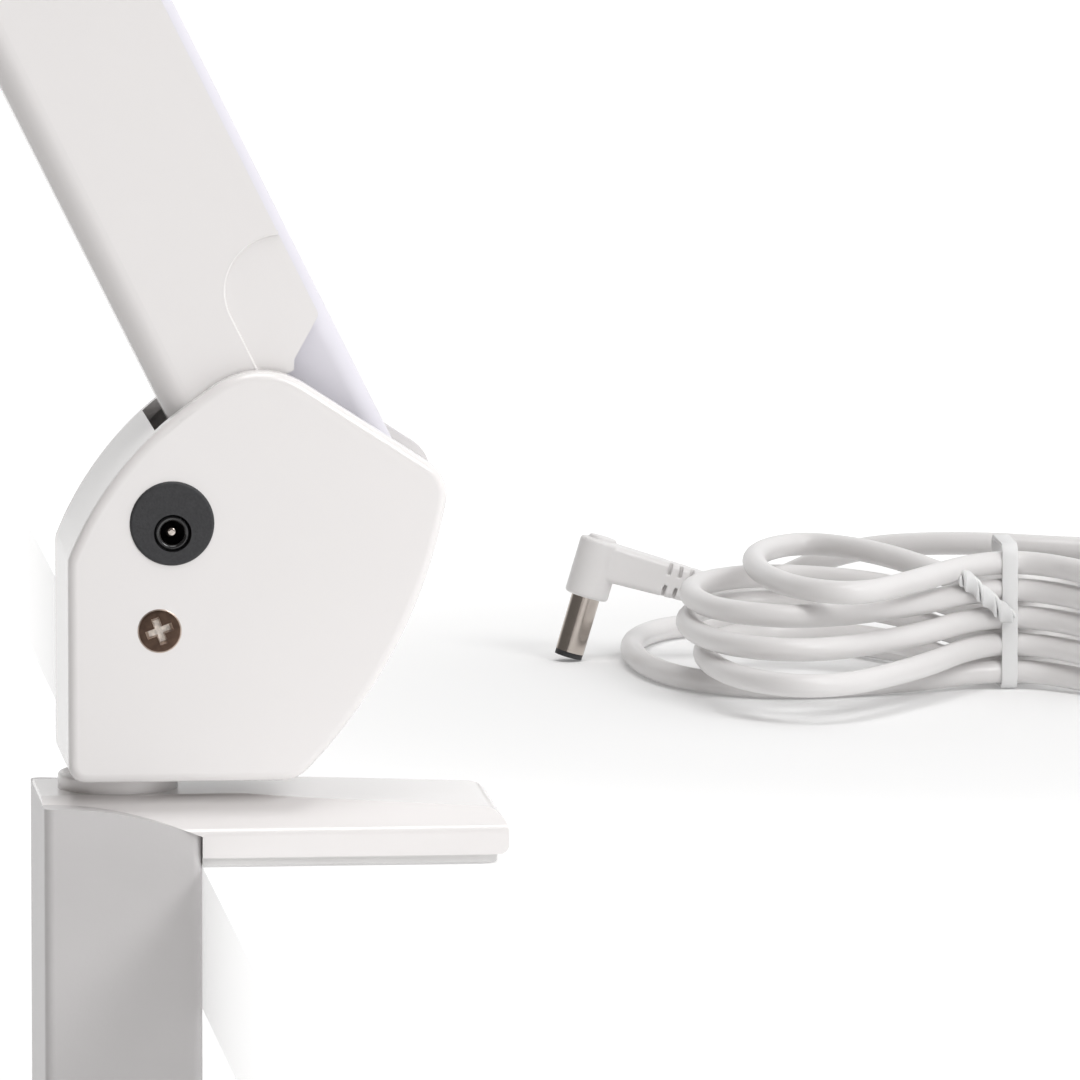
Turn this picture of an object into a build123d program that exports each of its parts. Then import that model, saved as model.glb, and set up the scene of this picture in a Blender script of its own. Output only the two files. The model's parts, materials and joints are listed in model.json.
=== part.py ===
from build123d import *
from math import cos, pi, radians, sin, sqrt, tan
import os

os.makedirs("parts", exist_ok=True)

# Clamp magnifier lamp, in millimetres: Z up, X from the clamp's stem over the table, the table's
# top at Z 0. The arms swing in the XZ plane, so every pivot of theirs runs along Y.

# Clearances between pieces that move on each other
pin_play = 0.05
side_play = 0.3
open_pivot_play = 0.4

# Clamp
jaw_width = 42.0
jaw_tip_x = 26.5
jaw_back_x = -53.7
jaw_top_back = 11.5
jaw_top_tip = 9.3
jaw_edge_height = 6.4
jaw_crown_width = 25.0
jaw_tip_radius = 4.2
pad_thickness = 1.7
stem_width = 40.8
stem_right_x = -26.5
stem_step_height = 10.4
stem_step_drop = 5.0
throat_depth = 66.0
lower_jaw_height = 12.0
lower_jaw_reach = 15.0
screw_x = 0.0
screw_radius = 4.95
screw_boss_radius = 11.0
screw_boss_drop = 6.0
table_thickness = 25.0
pressure_radius = 17.0
pressure_pad_height = 2.0
pressure_plate_height = 3.5
pressure_hub_height = 5.0
pressure_hub_radius = 8.0
screw_nose_radius = 3.2
screw_exposed = 24.0
knob_radius = 15.5
knob_height = 19.0
knob_lobe_radius = 4.6
knob_lobes = 6
knob_collar_radius = 9.0
knob_collar_height = 5.0
knob_bore_depth = 14.0

# Swivel under the foot housing
swivel_x = -39.7
swivel_pin_radius = 6.0
swivel_pin_depth = 22.0
swivel_head_radius = 7.2
bush_radius = 8.0
collar_radius = 10.45
collar_height = 2.8
foot_gap = 0.35

# Foot housing, two shells that meet at Y 0
shell_half = 19.0
shell_wall = 2.0
shell_edge_radius = 1.6
foot_bottom = jaw_top_back + collar_height + foot_gap
foot_left = -49.4
foot_shoulder = 53.2
foot_apex = (-16.5, 88.6)
foot_apex_radius = 14.0
foot_nose = (16.6, 67.1)
foot_nose_radius = 6.5
foot_toe = (-10.0, foot_bottom)
foot_slot_back = -34.2
foot_slot_low = 57.0
bezel_place = (-31.5, 59.6)
bezel_radius = 7.3
jack_hole_place = (-31.4, 57.9)
jack_hole_radius = 3.25
jack_pin_radius = 1.05
jack_depth = 11.0
screw_place = (-33.7, 41.0)
screw_head_radius = 3.8
screw_head_height = 2.0
screw_shank_radius = 1.9
screw_cone = 40
boss_radius = 4.5
bore_stop = 5.0

# Steel brackets inside the joints
bracket_wall = 1.5
bracket_half = 16.9
bracket_web = 2.0
ear_radius = 8.5

# Parallelogram arms: a main rail under the outer cover, a tie bar under the inner cover
arm_length = 400.0
lower_lean = -26.4
upper_lean = 70.0
tie_offset = 16.8
main_pivot = (-14.5, 66.0)
main_pin_radius = 3.0
tie_pin_radius = 2.5
cover_half = 15.0
cover_wall = 2.0
cover_back = 10.5
cover_front = 20.7
cover_corner_radius = 5.0
cheek_recess = 0.5
cheek_radius = 10.0
cheek_place = (16.7, 28.7)
cheek_corner_radius = 1.3
rail_wall = 1.2
rail_front = 4.0
inner_half = 11.4
inner_wall = 1.5
inner_back = 7.5
inner_front = 8.2
inner_corner_radius = 3.5
tie_wall = 1.2
tie_front = 5.0
spring_radius = 3.6
spring_spread = 4.2
spring_stud_radius = 2.0
spring_stud_place = 150.0
spring_eye_height = 1.4

# Elbow
elbow_rise = 48.8
elbow_shift = 8.4
elbow_radius = 17.0
joint_boss_radius = 3.0
joint_screw_radius = 1.2
joint_screw_head_radius = 2.6
joint_screw_head_height = 1.6
joint_screw_reach = 8.0

# Head joint and neck
neck_reach = 30.0
neck_radius = 5.0
neck_socket_radius = 10.5
neck_socket_height = 24.0
neck_drop = 24.0
tilt_reach = 17.0
tilt_ear_radius = 8.5
tilt_ear_wall = 4.0
tilt_lug_half = 9.0
tilt_bolt_radius = 3.0
tilt_knob_radius = 13.0
tilt_knob_height = 15.0
bolt_head_radius = 5.5
bolt_head_height = 4.0

# Head
head_radius = 107.0
head_gap = 24.0
head_rise = 18.0
head_fall = 18.0
head_wall = 2.4
lens_radius = 66.0
lens_edge = 5.0
lens_crown = 5.5
lens_seat = 3.5
shelf_wall = 1.8
lamp_ring_inner = lens_radius + 6.0
lamp_ring_outer = head_radius - 8.0
diffuser_height = 2.0
board_height = 1.6
led_count = 40
led_size = 4.0
led_height = 1.2
cover_disc_radius = lens_radius + 8.0
cover_disc_height = 3.0
cover_crown = 3.0
cover_hinge_gap = 8.0
cover_hinge_reach = cover_disc_radius + cover_hinge_gap
cover_hinge_rise = 3.2
cover_knuckle_half = 10.0
cover_knuckle_radius = 2.5
hinge_ear_radius = 2.8
hinge_ear_width = 4.0
cover_pin_radius = 1.5
button_radius = 6.0
button_depth = 6.0
button_rise = 2.0
button_place = cover_hinge_reach + hinge_ear_radius + button_radius + 0.2

# Cord, plug and mains adapter on the table
cord_diameter = 4.4
cord_radius = cord_diameter / 2
barrel_radius = 2.75
barrel_length = 11.0
barrel_tip = 1.0
barrel_bore = 1.3
plug_body_radius = 4.2
plug_body_height = 11.2
plug_cap_radius = 2.7
plug_cap_height = 0.8
plug_tilt = 16.5
plug_foot = (63.0, 247.0)
boot_length = 17.5
boot_start_height = 7.4
boot_end_height = 6.2
boot_slot = 1.0
boot_slot_pitch = 2.15
boot_slots = 4
hank_turns = 5
hank_waist = (141.5, 202.0)
hank_step = 5.15
hank_waist_half = 3.0
waist_run = 6.0
tie_band_width = 3.0
tie_band_wall = 0.8
adapter_size = (44.0, 72.0, 27.0)
adapter_place = (243.0, 236.0)
adapter_relief_length = 16.0
adapter_relief_z = 9.0
adapter_relief_radius = 4.2
adapter_corner = 6.0
prong_size = (1.5, 6.3)
prong_length = 17.0
prong_spacing = 12.7
prong_z = 18.0


def export(builder, name):
    builder.part.label = name
    export_step(builder.part, "parts/" + name + ".step")


def upright(pivot, lean):
    """Plane in XZ at a pivot: its x runs across an arm, its y along it, its normal to -Y."""
    angle = radians(lean)
    return Plane(
        origin=(pivot[0], 0, pivot[1]), x_dir=(cos(angle), 0, -sin(angle)), z_dir=(0, -1, 0)
    )


def across(side, at):
    """Section plane of an arm: its x runs across the arm, its y along +Y."""
    return Plane(origin=side.from_local_coords((0, at, 0)), x_dir=side.x_dir, z_dir=side.y_dir)


def shifted(pivot, lean, length):
    angle = radians(lean)
    return (pivot[0] + length * sin(angle), pivot[1] + length * cos(angle))


side_view = Plane(origin=(0, 0, 0), x_dir=(1, 0, 0), z_dir=(0, -1, 0))

# Pivots of the two parallelograms
foot_tie = (main_pivot[0] + tie_offset, main_pivot[1])
elbow_main = shifted(main_pivot, lower_lean, arm_length)
elbow_tie = shifted(foot_tie, lower_lean, arm_length)
elbow_top = (elbow_main[0] + elbow_shift, elbow_main[1] + elbow_rise)
elbow_top_tie = (elbow_top[0], elbow_top[1] - tie_offset)
head_main = shifted(elbow_top, upper_lean, arm_length)
head_tie = shifted(elbow_top_tie, upper_lean, arm_length)

# Upper jaw: a side outline cut to a crowned cross section
stem_step = [
    (jaw_back_x, stem_step_height),
    (jaw_back_x + 14.0, stem_step_height - 1.2),
    (stem_right_x, stem_step_height - stem_step_drop),
]
with BuildPart() as upper_jaw:
    with BuildSketch(side_view) as jaw_side:
        with BuildLine():
            ThreePointArc(*stem_step)
            Polyline(
                stem_step[2],
                (stem_right_x, pad_thickness),
                (jaw_tip_x, pad_thickness),
                (jaw_tip_x, jaw_top_tip),
                (stem_right_x + 8.0, jaw_top_back),
                (jaw_back_x, jaw_top_back),
                stem_step[0],
            )
        make_face()
        fillet(vertices().sort_by_distance((jaw_tip_x, jaw_top_tip))[0], jaw_tip_radius)
        fillet(vertices().sort_by_distance((jaw_tip_x, pad_thickness))[0], pad_thickness)
        fillet(vertices().sort_by_distance((stem_right_x + 8.0, jaw_top_back))[0], 40.0)
    extrude(amount=jaw_width / 2, both=True)
    with BuildSketch(Plane.YZ.offset(jaw_back_x)) as jaw_crown:
        with BuildLine():
            crown_side = (jaw_width / 2, jaw_edge_height)
            crown_top = (jaw_crown_width / 2, jaw_top_back + 0.01)
            Polyline(
                (-crown_side[0], 0),
                (crown_side[0], 0),
                crown_side,
                crown_top,
                (-crown_top[0], crown_top[1]),
                (-crown_side[0], crown_side[1]),
                (-crown_side[0], 0),
            )
        make_face()
        fillet(vertices().group_by(Axis.Y)[1], 1.6)
        fillet(vertices().group_by(Axis.Y)[-1], 9.0)
    extrude(amount=jaw_tip_x - jaw_back_x, mode=Mode.INTERSECT)
    with BuildSketch(Plane.XY):
        with Locations((swivel_x, 0)):
            Circle(bush_radius)
    extrude(amount=jaw_top_back + 1.0, mode=Mode.SUBTRACT)
export(upper_jaw, "upper_jaw")

# Rubber seat pad under the upper jaw
with BuildPart() as jaw_pad:
    with BuildSketch(Plane.XY):
        pad_length = jaw_tip_x - pad_thickness - stem_right_x
        with Locations((stem_right_x, 0)):
            Rectangle(pad_length, jaw_width - 2.0, align=(Align.MIN, Align.CENTER))
        fillet(vertices().group_by(Axis.X)[-1], 3.0)
    extrude(amount=pad_thickness)
    fillet(edges().group_by(Axis.Z)[0].filter_by(Axis.Y), 0.5)
export(jaw_pad, "jaw_pad")

# Clamp frame: stem, lower jaw and threaded boss
lower_jaw_top = -throat_depth
lower_jaw_bottom = lower_jaw_top - lower_jaw_height
boss_bottom = lower_jaw_bottom - screw_boss_drop
with BuildPart() as clamp_frame:
    with BuildSketch(Plane.XY.offset(lower_jaw_bottom)):
        with Locations((jaw_back_x, 0)):
            Rectangle(stem_right_x - jaw_back_x, stem_width, align=(Align.MIN, Align.CENTER))
        fillet(vertices(), 1.7)
    extrude(amount=stem_step_height - lower_jaw_bottom)
    with BuildSketch(side_view):
        with BuildLine():
            ThreePointArc(*stem_step)
            Polyline(
                stem_step[2],
                (stem_right_x, lower_jaw_bottom),
                (jaw_back_x, lower_jaw_bottom),
                stem_step[0],
            )
        make_face()
        fillet(vertices().sort_by_distance((jaw_back_x, lower_jaw_bottom))[0], 7.0)
    extrude(amount=stem_width / 2, both=True, mode=Mode.INTERSECT)
    with BuildSketch(Plane.XY.offset(lower_jaw_bottom)):
        with BuildLine():
            Polyline(
                (jaw_back_x + 12.0, -stem_width / 2),
                (screw_x, -lower_jaw_reach),
                (screw_x, lower_jaw_reach),
                (jaw_back_x + 12.0, stem_width / 2),
                close=True,
            )
        make_face()
        with Locations((screw_x, 0)):
            Circle(lower_jaw_reach)
    extrude(amount=lower_jaw_height)
    throat_edges = edges().filter_by(Axis.Y).sort_by_distance((stem_right_x, 0, lower_jaw_top))
    fillet(throat_edges[0], 6.0)
    with BuildSketch(Plane.XY.offset(boss_bottom)):
        with Locations((screw_x, 0)):
            Circle(screw_boss_radius)
    extrude(amount=screw_boss_drop)
    fillet(faces().sort_by(Axis.Z)[0].edges(), 1.0)
    with BuildSketch(Plane.XY.offset(boss_bottom)):
        with Locations((screw_x, 0)):
            Circle(screw_radius + pin_play)
    extrude(amount=lower_jaw_height + screw_boss_drop, mode=Mode.SUBTRACT)
    with BuildSketch(Plane.XY.offset(-swivel_pin_depth - 2.0)):
        with Locations((swivel_x, 0)):
            Circle(bush_radius)
    extrude(amount=swivel_pin_depth + 20.0, mode=Mode.SUBTRACT)
export(clamp_frame, "clamp_frame")

# Swivel bush with the collar that the foot housing turns on
with BuildPart() as swivel_bush:
    with BuildSketch(side_view):
        with BuildLine():
            Polyline(
                (swivel_x + swivel_pin_radius + pin_play, -swivel_pin_depth - 2.0),
                (swivel_x + bush_radius, -swivel_pin_depth - 2.0),
                (swivel_x + bush_radius, jaw_top_back),
                (swivel_x + collar_radius, jaw_top_back),
                (swivel_x + collar_radius, jaw_top_back + collar_height),
                (swivel_x + swivel_pin_radius + pin_play, jaw_top_back + collar_height),
                close=True,
            )
        make_face()
        fillet(vertices().sort_by_distance((swivel_x + collar_radius, foot_bottom))[0], 0.8)
    revolve(axis=Axis((swivel_x, 0, 0), (0, 0, 1)))
export(swivel_bush, "swivel_bush")

# Clamp screw with its nose in the pressure plate, and its star knob
plate_top = -table_thickness - pressure_pad_height
hub_bottom = plate_top - pressure_plate_height - pressure_hub_height
nose_top = plate_top - 1.5
knob_top = boss_bottom - screw_exposed
knob_bottom = knob_top - knob_height
with BuildPart() as pressure_pad:
    with BuildSketch(Plane.XY.offset(plate_top)):
        with Locations((screw_x, 0)):
            Circle(pressure_radius)
    extrude(amount=pressure_pad_height)
    fillet(edges().group_by(Axis.Z)[-1], 0.6)
export(pressure_pad, "pressure_pad")

with BuildPart() as pressure_plate:
    with BuildSketch(Plane.XY.offset(plate_top)):
        with Locations((screw_x, 0)):
            Circle(pressure_radius)
    extrude(amount=-pressure_plate_height)
    fillet(edges().group_by(Axis.Z)[0], 1.5)
    with BuildSketch(Plane.XY.offset(hub_bottom)):
        with Locations((screw_x, 0)):
            Circle(pressure_hub_radius)
    extrude(amount=pressure_hub_height)
    fillet(edges().group_by(Axis.Z)[0], 0.8)
    with BuildSketch(Plane.XY.offset(hub_bottom)):
        with Locations((screw_x, 0)):
            Circle(screw_nose_radius + pin_play)
    extrude(amount=nose_top + side_play - hub_bottom, mode=Mode.SUBTRACT)
export(pressure_plate, "pressure_plate")

with BuildPart() as clamp_screw:
    with BuildSketch(Plane.XY.offset(knob_top - knob_bore_depth)):
        with Locations((screw_x, 0)):
            Circle(screw_radius)
    extrude(amount=hub_bottom - side_play - (knob_top - knob_bore_depth))
    chamfer(edges().group_by(Axis.Z)[-1], 0.8)
    with BuildSketch(Plane.XY.offset(hub_bottom - side_play)):
        with Locations((screw_x, 0)):
            Circle(screw_nose_radius)
    extrude(amount=nose_top - (hub_bottom - side_play))
export(clamp_screw, "clamp_screw")

with BuildPart() as clamp_knob:
    with BuildSketch(Plane.XY.offset(knob_bottom)):
        with Locations((screw_x, 0)):
            Circle(knob_radius)
            with PolarLocations(knob_radius - 0.5, knob_lobes):
                Circle(knob_lobe_radius)
    extrude(amount=knob_height - knob_collar_height)
    fillet(edges().group_by(Axis.Z)[0], 1.5)
    fillet(edges().group_by(Axis.Z)[-1], 1.5)
    with BuildSketch(Plane.XY.offset(knob_top - knob_collar_height)):
        with Locations((screw_x, 0)):
            Circle(knob_collar_radius)
    extrude(amount=knob_collar_height, taper=12)
    with BuildSketch(Plane.XY.offset(knob_top - knob_bore_depth)):
        with Locations((screw_x, 0)):
            Circle(screw_radius)
    extrude(amount=knob_bore_depth, mode=Mode.SUBTRACT)
export(clamp_knob, "clamp_knob")


# Foot housing: outline shared by both shells
def foot_outline(inset=0.0):
    with BuildSketch(side_view) as outline:
        with BuildLine():
            ThreePointArc((foot_left, foot_shoulder), (-40.4, 68.7), (-27.5, 80.6))
            Polyline((-27.5, 80.6), foot_apex, foot_nose)
            ThreePointArc(foot_nose, (6.9, 37.1), foot_toe)
            Polyline(foot_toe, (foot_left, foot_bottom), (foot_left, foot_shoulder))
        make_face()
        for corner, radius in (
            (foot_apex, foot_apex_radius),
            (foot_nose, foot_nose_radius),
            ((foot_left, foot_shoulder), 4.0),
            ((foot_left, foot_bottom), 3.0),
            (foot_toe, 6.0),
        ):
            fillet(vertices().sort_by_distance(corner)[0], radius)
        if inset:
            offset(amount=-inset, mode=Mode.REPLACE)
    return outline.sketch


back_screws = ((-38.0, 28.0), (-3.0, 33.0))
front = -1
back = 1
shell_names = {front: "housing_front_shell", back: "housing_back_shell"}
for hand in (front, back):
    with BuildPart() as foot_shell:
        extrude(foot_outline(), amount=-hand * shell_half)
        outer = faces().sort_by(Axis.Y)[0 if hand == front else -1]
        fillet(outer.edges(), shell_edge_radius)
        hollow = foot_outline(shell_wall)
        extrude(hollow, amount=-hand * (shell_half - shell_wall), mode=Mode.SUBTRACT)
        # slot that the arm swings in, between the two cheeks
        slot_half = bracket_half - bracket_wall
        with BuildSketch(side_view):
            with Locations((foot_slot_back, foot_slot_low)):
                Rectangle(70, 50, align=(Align.MIN, Align.MIN))
        extrude(amount=-hand * slot_half, mode=Mode.SUBTRACT)
        # screw bosses
        with BuildSketch(side_view.offset(-hand * (shell_half - shell_wall))):
            with Locations(screw_place, *back_screws):
                Circle(boss_radius)
        extrude(amount=hand * (shell_half - shell_wall))
        with BuildSketch(side_view):
            with Locations(screw_place, *back_screws):
                Circle(screw_shank_radius)
        extrude(amount=-hand * (shell_half - bore_stop), mode=Mode.SUBTRACT)
        headed = (screw_place,) if hand == front else back_screws
        for place in headed:
            with BuildSketch(side_view):
                with Locations(place):
                    Circle(screw_shank_radius)
            extrude(amount=-hand * shell_half, mode=Mode.SUBTRACT)
            with BuildSketch(side_view.offset(-hand * shell_half)):
                with Locations(place):
                    Circle(screw_head_radius)
            extrude(amount=hand * screw_head_height, taper=screw_cone, mode=Mode.SUBTRACT)
        if hand == front:
            with BuildSketch(side_view):
                with Locations(bezel_place):
                    Circle(bezel_radius)
            extrude(amount=shell_half, mode=Mode.SUBTRACT)
        with BuildSketch(Plane.XY.offset(foot_bottom)):
            with Locations((swivel_x, 0)):
                Circle(swivel_pin_radius + side_play)
        extrude(amount=shell_wall + 1.0, mode=Mode.SUBTRACT)
    export(foot_shell, shell_names[hand])

with BuildPart() as housing_screws:
    for hand, places in ((front, (screw_place,)), (back, back_screws)):
        with BuildSketch(side_view.offset(-hand * shell_half)):
            with Locations(*places):
                Circle(screw_head_radius)
        extrude(amount=hand * screw_head_height, taper=screw_cone)
        with BuildSketch(side_view.offset(-hand * (shell_half - screw_head_height))):
            with Locations(*places):
                Circle(screw_shank_radius)
        extrude(amount=hand * (shell_half - screw_head_height + 12.0))
export(housing_screws, "housing_screws")

# Power inlet: a round black bezel with an off-centre hole, and its contact pin
with BuildPart() as dc_jack_body:
    with BuildSketch(side_view.offset(shell_half - jack_depth - shell_wall)):
        with Locations(bezel_place):
            Circle(bezel_radius - 1.3)
    extrude(amount=jack_depth)
    with BuildSketch(side_view.offset(shell_half - shell_wall)):
        with Locations(bezel_place):
            Circle(bezel_radius)
    extrude(amount=shell_wall + 0.4)
    fillet(edges().group_by(Axis.Y)[0], 0.5)
    with BuildSketch(side_view.offset(shell_half - jack_depth)):
        with Locations(jack_hole_place):
            Circle(jack_hole_radius)
    extrude(amount=jack_depth + 1.0, mode=Mode.SUBTRACT)
    with BuildSketch(side_view.offset(shell_half - jack_depth - shell_wall)):
        with Locations(jack_hole_place):
            Circle(jack_pin_radius)
    extrude(amount=shell_wall, mode=Mode.SUBTRACT)
export(dc_jack_body, "dc_jack_body")

with BuildPart() as dc_jack_pin:
    with BuildSketch(side_view.offset(shell_half - jack_depth - shell_wall - 1.5)):
        with Locations(jack_hole_place):
            Circle(jack_pin_radius)
    extrude(amount=jack_depth + 1.5)
    fillet(edges().group_by(Axis.Y)[0], 0.7)
export(dc_jack_pin, "dc_jack_pin")

# Steel bracket in the foot, on the swivel pin's head plate
web_bottom = foot_bottom + shell_wall
with BuildPart() as base_bracket:
    with BuildSketch(side_view) as foot_plate:
        with BuildLine():
            Polyline(
                (foot_left + 3.5, web_bottom),
                (-14.0, web_bottom),
                (-8.5, 26.0),
                (4.0, 45.0),
                (9.5, 60.0),
                (9.5, 70.0),
                (3.0, 74.0),
                (-12.0, 77.5),
                (-22.5, 73.0),
                (-22.5, 50.0),
                (-27.5, 34.0),
                (-32.0, 33.0),
                (foot_left + 3.5, 21.5),
                close=True,
            )
        make_face()
    extrude(amount=bracket_half, both=True)
    with BuildSketch(side_view):
        with Locations((foot_left, web_bottom + bracket_web)):
            Rectangle(80, 80, align=(Align.MIN, Align.MIN))
    extrude(amount=bracket_half - bracket_wall, both=True, mode=Mode.SUBTRACT)
    with BuildSketch(side_view):
        with Locations(main_pivot):
            Circle(main_pin_radius)
        with Locations(foot_tie):
            Circle(tie_pin_radius)
    extrude(amount=bracket_half, both=True, mode=Mode.SUBTRACT)
    with BuildSketch(side_view):
        with Locations(*back_screws):
            Circle(boss_radius + side_play)
    extrude(amount=bracket_half, both=True, mode=Mode.SUBTRACT)
    with BuildSketch(Plane.XY.offset(web_bottom)):
        with Locations((swivel_x, 0)):
            Circle(swivel_pin_radius)
    extrude(amount=bracket_web, mode=Mode.SUBTRACT)
export(base_bracket, "base_bracket")

with BuildPart() as swivel_pin:
    with BuildSketch(Plane.XY.offset(-swivel_pin_depth)):
        with Locations((swivel_x, 0)):
            Circle(swivel_pin_radius)
    extrude(amount=swivel_pin_depth + web_bottom + bracket_web)
    chamfer(edges().group_by(Axis.Z)[0], 1.0)
    with BuildSketch(Plane.XY.offset(web_bottom + bracket_web)):
        with Locations((swivel_x, 0)):
            Circle(swivel_head_radius)
            Circle(2.5, mode=Mode.SUBTRACT)
    extrude(amount=3.0)
export(swivel_pin, "swivel_pin")


def pivot_pins(main_places, tie_places):
    with BuildPart() as pins:
        with BuildSketch(side_view):
            with Locations(*main_places):
                Circle(main_pin_radius)
            with Locations(*tie_places):
                Circle(tie_pin_radius)
        extrude(amount=bracket_half, both=True)
    return pins


export(pivot_pins([main_pivot], [foot_tie]), "base_pivot_pins")
export(pivot_pins([elbow_main, elbow_top], [elbow_tie, elbow_top_tie]), "elbow_pivot_pins")
export(pivot_pins([head_main], [head_tie]), "head_pivot_pins")


def pivot_holes(side, radius, far_radius):
    """Circles for the bores along Y at both ends of an arm."""
    with BuildSketch(side) as holes:
        Circle(radius)
        with Locations((0, arm_length)):
            Circle(far_radius)
    return holes.sketch


def channel(side, start, end, back, front_edge, half, wall, corner, flip=1):
    """U-channel along an arm, with its web at -x (or +x when flipped) and rounded web corners."""
    web_side = Align.MIN if flip > 0 else Align.MAX
    with BuildPart() as profile:
        with BuildSketch(across(side, start)):
            with Locations((-flip * back, 0)):
                Rectangle(back + front_edge, 2 * half, align=(web_side, Align.CENTER))
            fillet(vertices().group_by(Axis.X)[0 if flip > 0 else -1], corner)
        extrude(amount=end - start)
        with BuildSketch(across(side, start)):
            with Locations((-flip * (back - wall), 0)):
                Rectangle(back + front_edge, 2 * (half - wall), align=(web_side, Align.CENTER))
            fillet(vertices().group_by(Axis.X)[0 if flip > 0 else -1], max(corner - wall, 0.5))
        extrude(amount=end - start, mode=Mode.SUBTRACT)
    return profile


def cover_notch(end, way):
    """Corner of the outer cover's legs that clears the tie pivot, at one end of an arm."""
    return [
        (7.5, end - way * 24.0),
        (7.5, end + way * 15.4),
        (12.6, end + way * 15.4),
        (13.4, end + way * 17.0),
        (cover_front + 0.2, end + way * 22.2),
        (cover_front + 12.0, end + way * 22.2),
        (cover_front + 12.0, end - way * 24.0),
    ]


def outer_cover(side):
    with BuildPart() as cover:
        add(
            channel(
                side,
                -cover_back,
                arm_length + cover_back,
                cover_back,
                cover_front,
                cover_half,
                cover_wall,
                cover_corner_radius,
            )
        )
        with BuildSketch(side):
            with Locations(((cover_front - cover_back) / 2, arm_length / 2)):
                Rectangle(cover_front + cover_back, arm_length)
            for end, way in ((0, 1), (arm_length, -1)):
                with BuildLine():
                    Polyline(*cover_notch(end, way), close=True)
                make_face(mode=Mode.SUBTRACT)
            for end, way in ((0, 1), (arm_length, -1)):
                notch_corner = (cover_front, end + way * 22.2)
                fillet(vertices().sort_by_distance(notch_corner)[0], cheek_corner_radius)
            with Locations((0, 0), (0, arm_length)):
                Circle(cover_back)
        extrude(amount=cover_half, both=True, mode=Mode.INTERSECT)
        for face_side in (1, -1):
            with BuildSketch(side.offset(face_side * (cover_half - cheek_recess))):
                for end, way in ((0, 1), (arm_length, -1)):
                    with Locations((cheek_place[0], end + way * cheek_place[1])):
                        Circle(cheek_radius)
                    cheek_left = cheek_place[0] - cheek_radius
                    cheek_middle = end + way * (cheek_place[1] - 20.0)
                    with Locations((cheek_left, cheek_middle)):
                        Rectangle(30.0, 40.0, align=(Align.MIN, Align.CENTER))
            extrude(amount=face_side * 2.0, mode=Mode.SUBTRACT)
        bore = main_pin_radius + pin_play
        extrude(pivot_holes(side, bore, bore), amount=shell_half, both=True, mode=Mode.SUBTRACT)
    return cover


def rail(side):
    rail_half = cover_half - cover_wall
    rail_back = cover_back - cover_wall
    with BuildPart() as bar:
        add(
            channel(
                side,
                -rail_back,
                arm_length + rail_back,
                rail_back,
                rail_front,
                rail_half,
                rail_wall,
                cover_corner_radius - cover_wall,
            )
        )
        with BuildSketch(side):
            with Locations(((rail_front - rail_back) / 2, arm_length / 2)):
                Rectangle(rail_front + rail_back, arm_length)
            with Locations((0, 0), (0, arm_length)):
                Circle(rail_back)
        extrude(amount=rail_half, both=True, mode=Mode.INTERSECT)
        bore = main_pin_radius + pin_play
        extrude(pivot_holes(side, bore, bore), amount=shell_half, both=True, mode=Mode.SUBTRACT)
        with BuildSketch(side):
            with Locations((0, spring_stud_place)):
                Circle(spring_stud_radius)
        extrude(amount=rail_half, both=True)
    return bar


def inner_cover(side):
    with BuildPart() as cover:
        add(
            channel(
                side,
                -inner_back,
                arm_length + inner_back,
                inner_back,
                inner_front,
                inner_half,
                inner_wall,
                inner_corner_radius,
                flip=-1,
            )
        )
        with BuildSketch(side):
            with Locations(((inner_back - inner_front) / 2, arm_length / 2)):
                Rectangle(inner_front + inner_back, arm_length)
            with Locations((0, 0), (0, arm_length)):
                Circle(inner_back)
        extrude(amount=inner_half, both=True, mode=Mode.INTERSECT)
        bore = tie_pin_radius + pin_play
        open_bore = tie_pin_radius + open_pivot_play
        holes = pivot_holes(side, bore, open_bore)
        extrude(holes, amount=shell_half, both=True, mode=Mode.SUBTRACT)
    return cover


def tie_bar(side):
    bar_half = inner_half - inner_wall
    bar_back = inner_back - inner_wall
    with BuildPart() as bar:
        add(
            channel(
                side,
                -bar_back,
                arm_length + bar_back,
                bar_back,
                tie_front,
                bar_half,
                tie_wall,
                inner_corner_radius - inner_wall,
                flip=-1,
            )
        )
        with BuildSketch(side):
            with Locations(((bar_back - tie_front) / 2, arm_length / 2)):
                Rectangle(tie_front + bar_back, arm_length)
            with Locations((0, 0), (0, arm_length)):
                Circle(bar_back)
        extrude(amount=bar_half, both=True, mode=Mode.INTERSECT)
        bore = tie_pin_radius + pin_play
        open_bore = tie_pin_radius + open_pivot_play
        holes = pivot_holes(side, bore, open_bore)
        extrude(holes, amount=shell_half, both=True, mode=Mode.SUBTRACT)
    return bar


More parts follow.
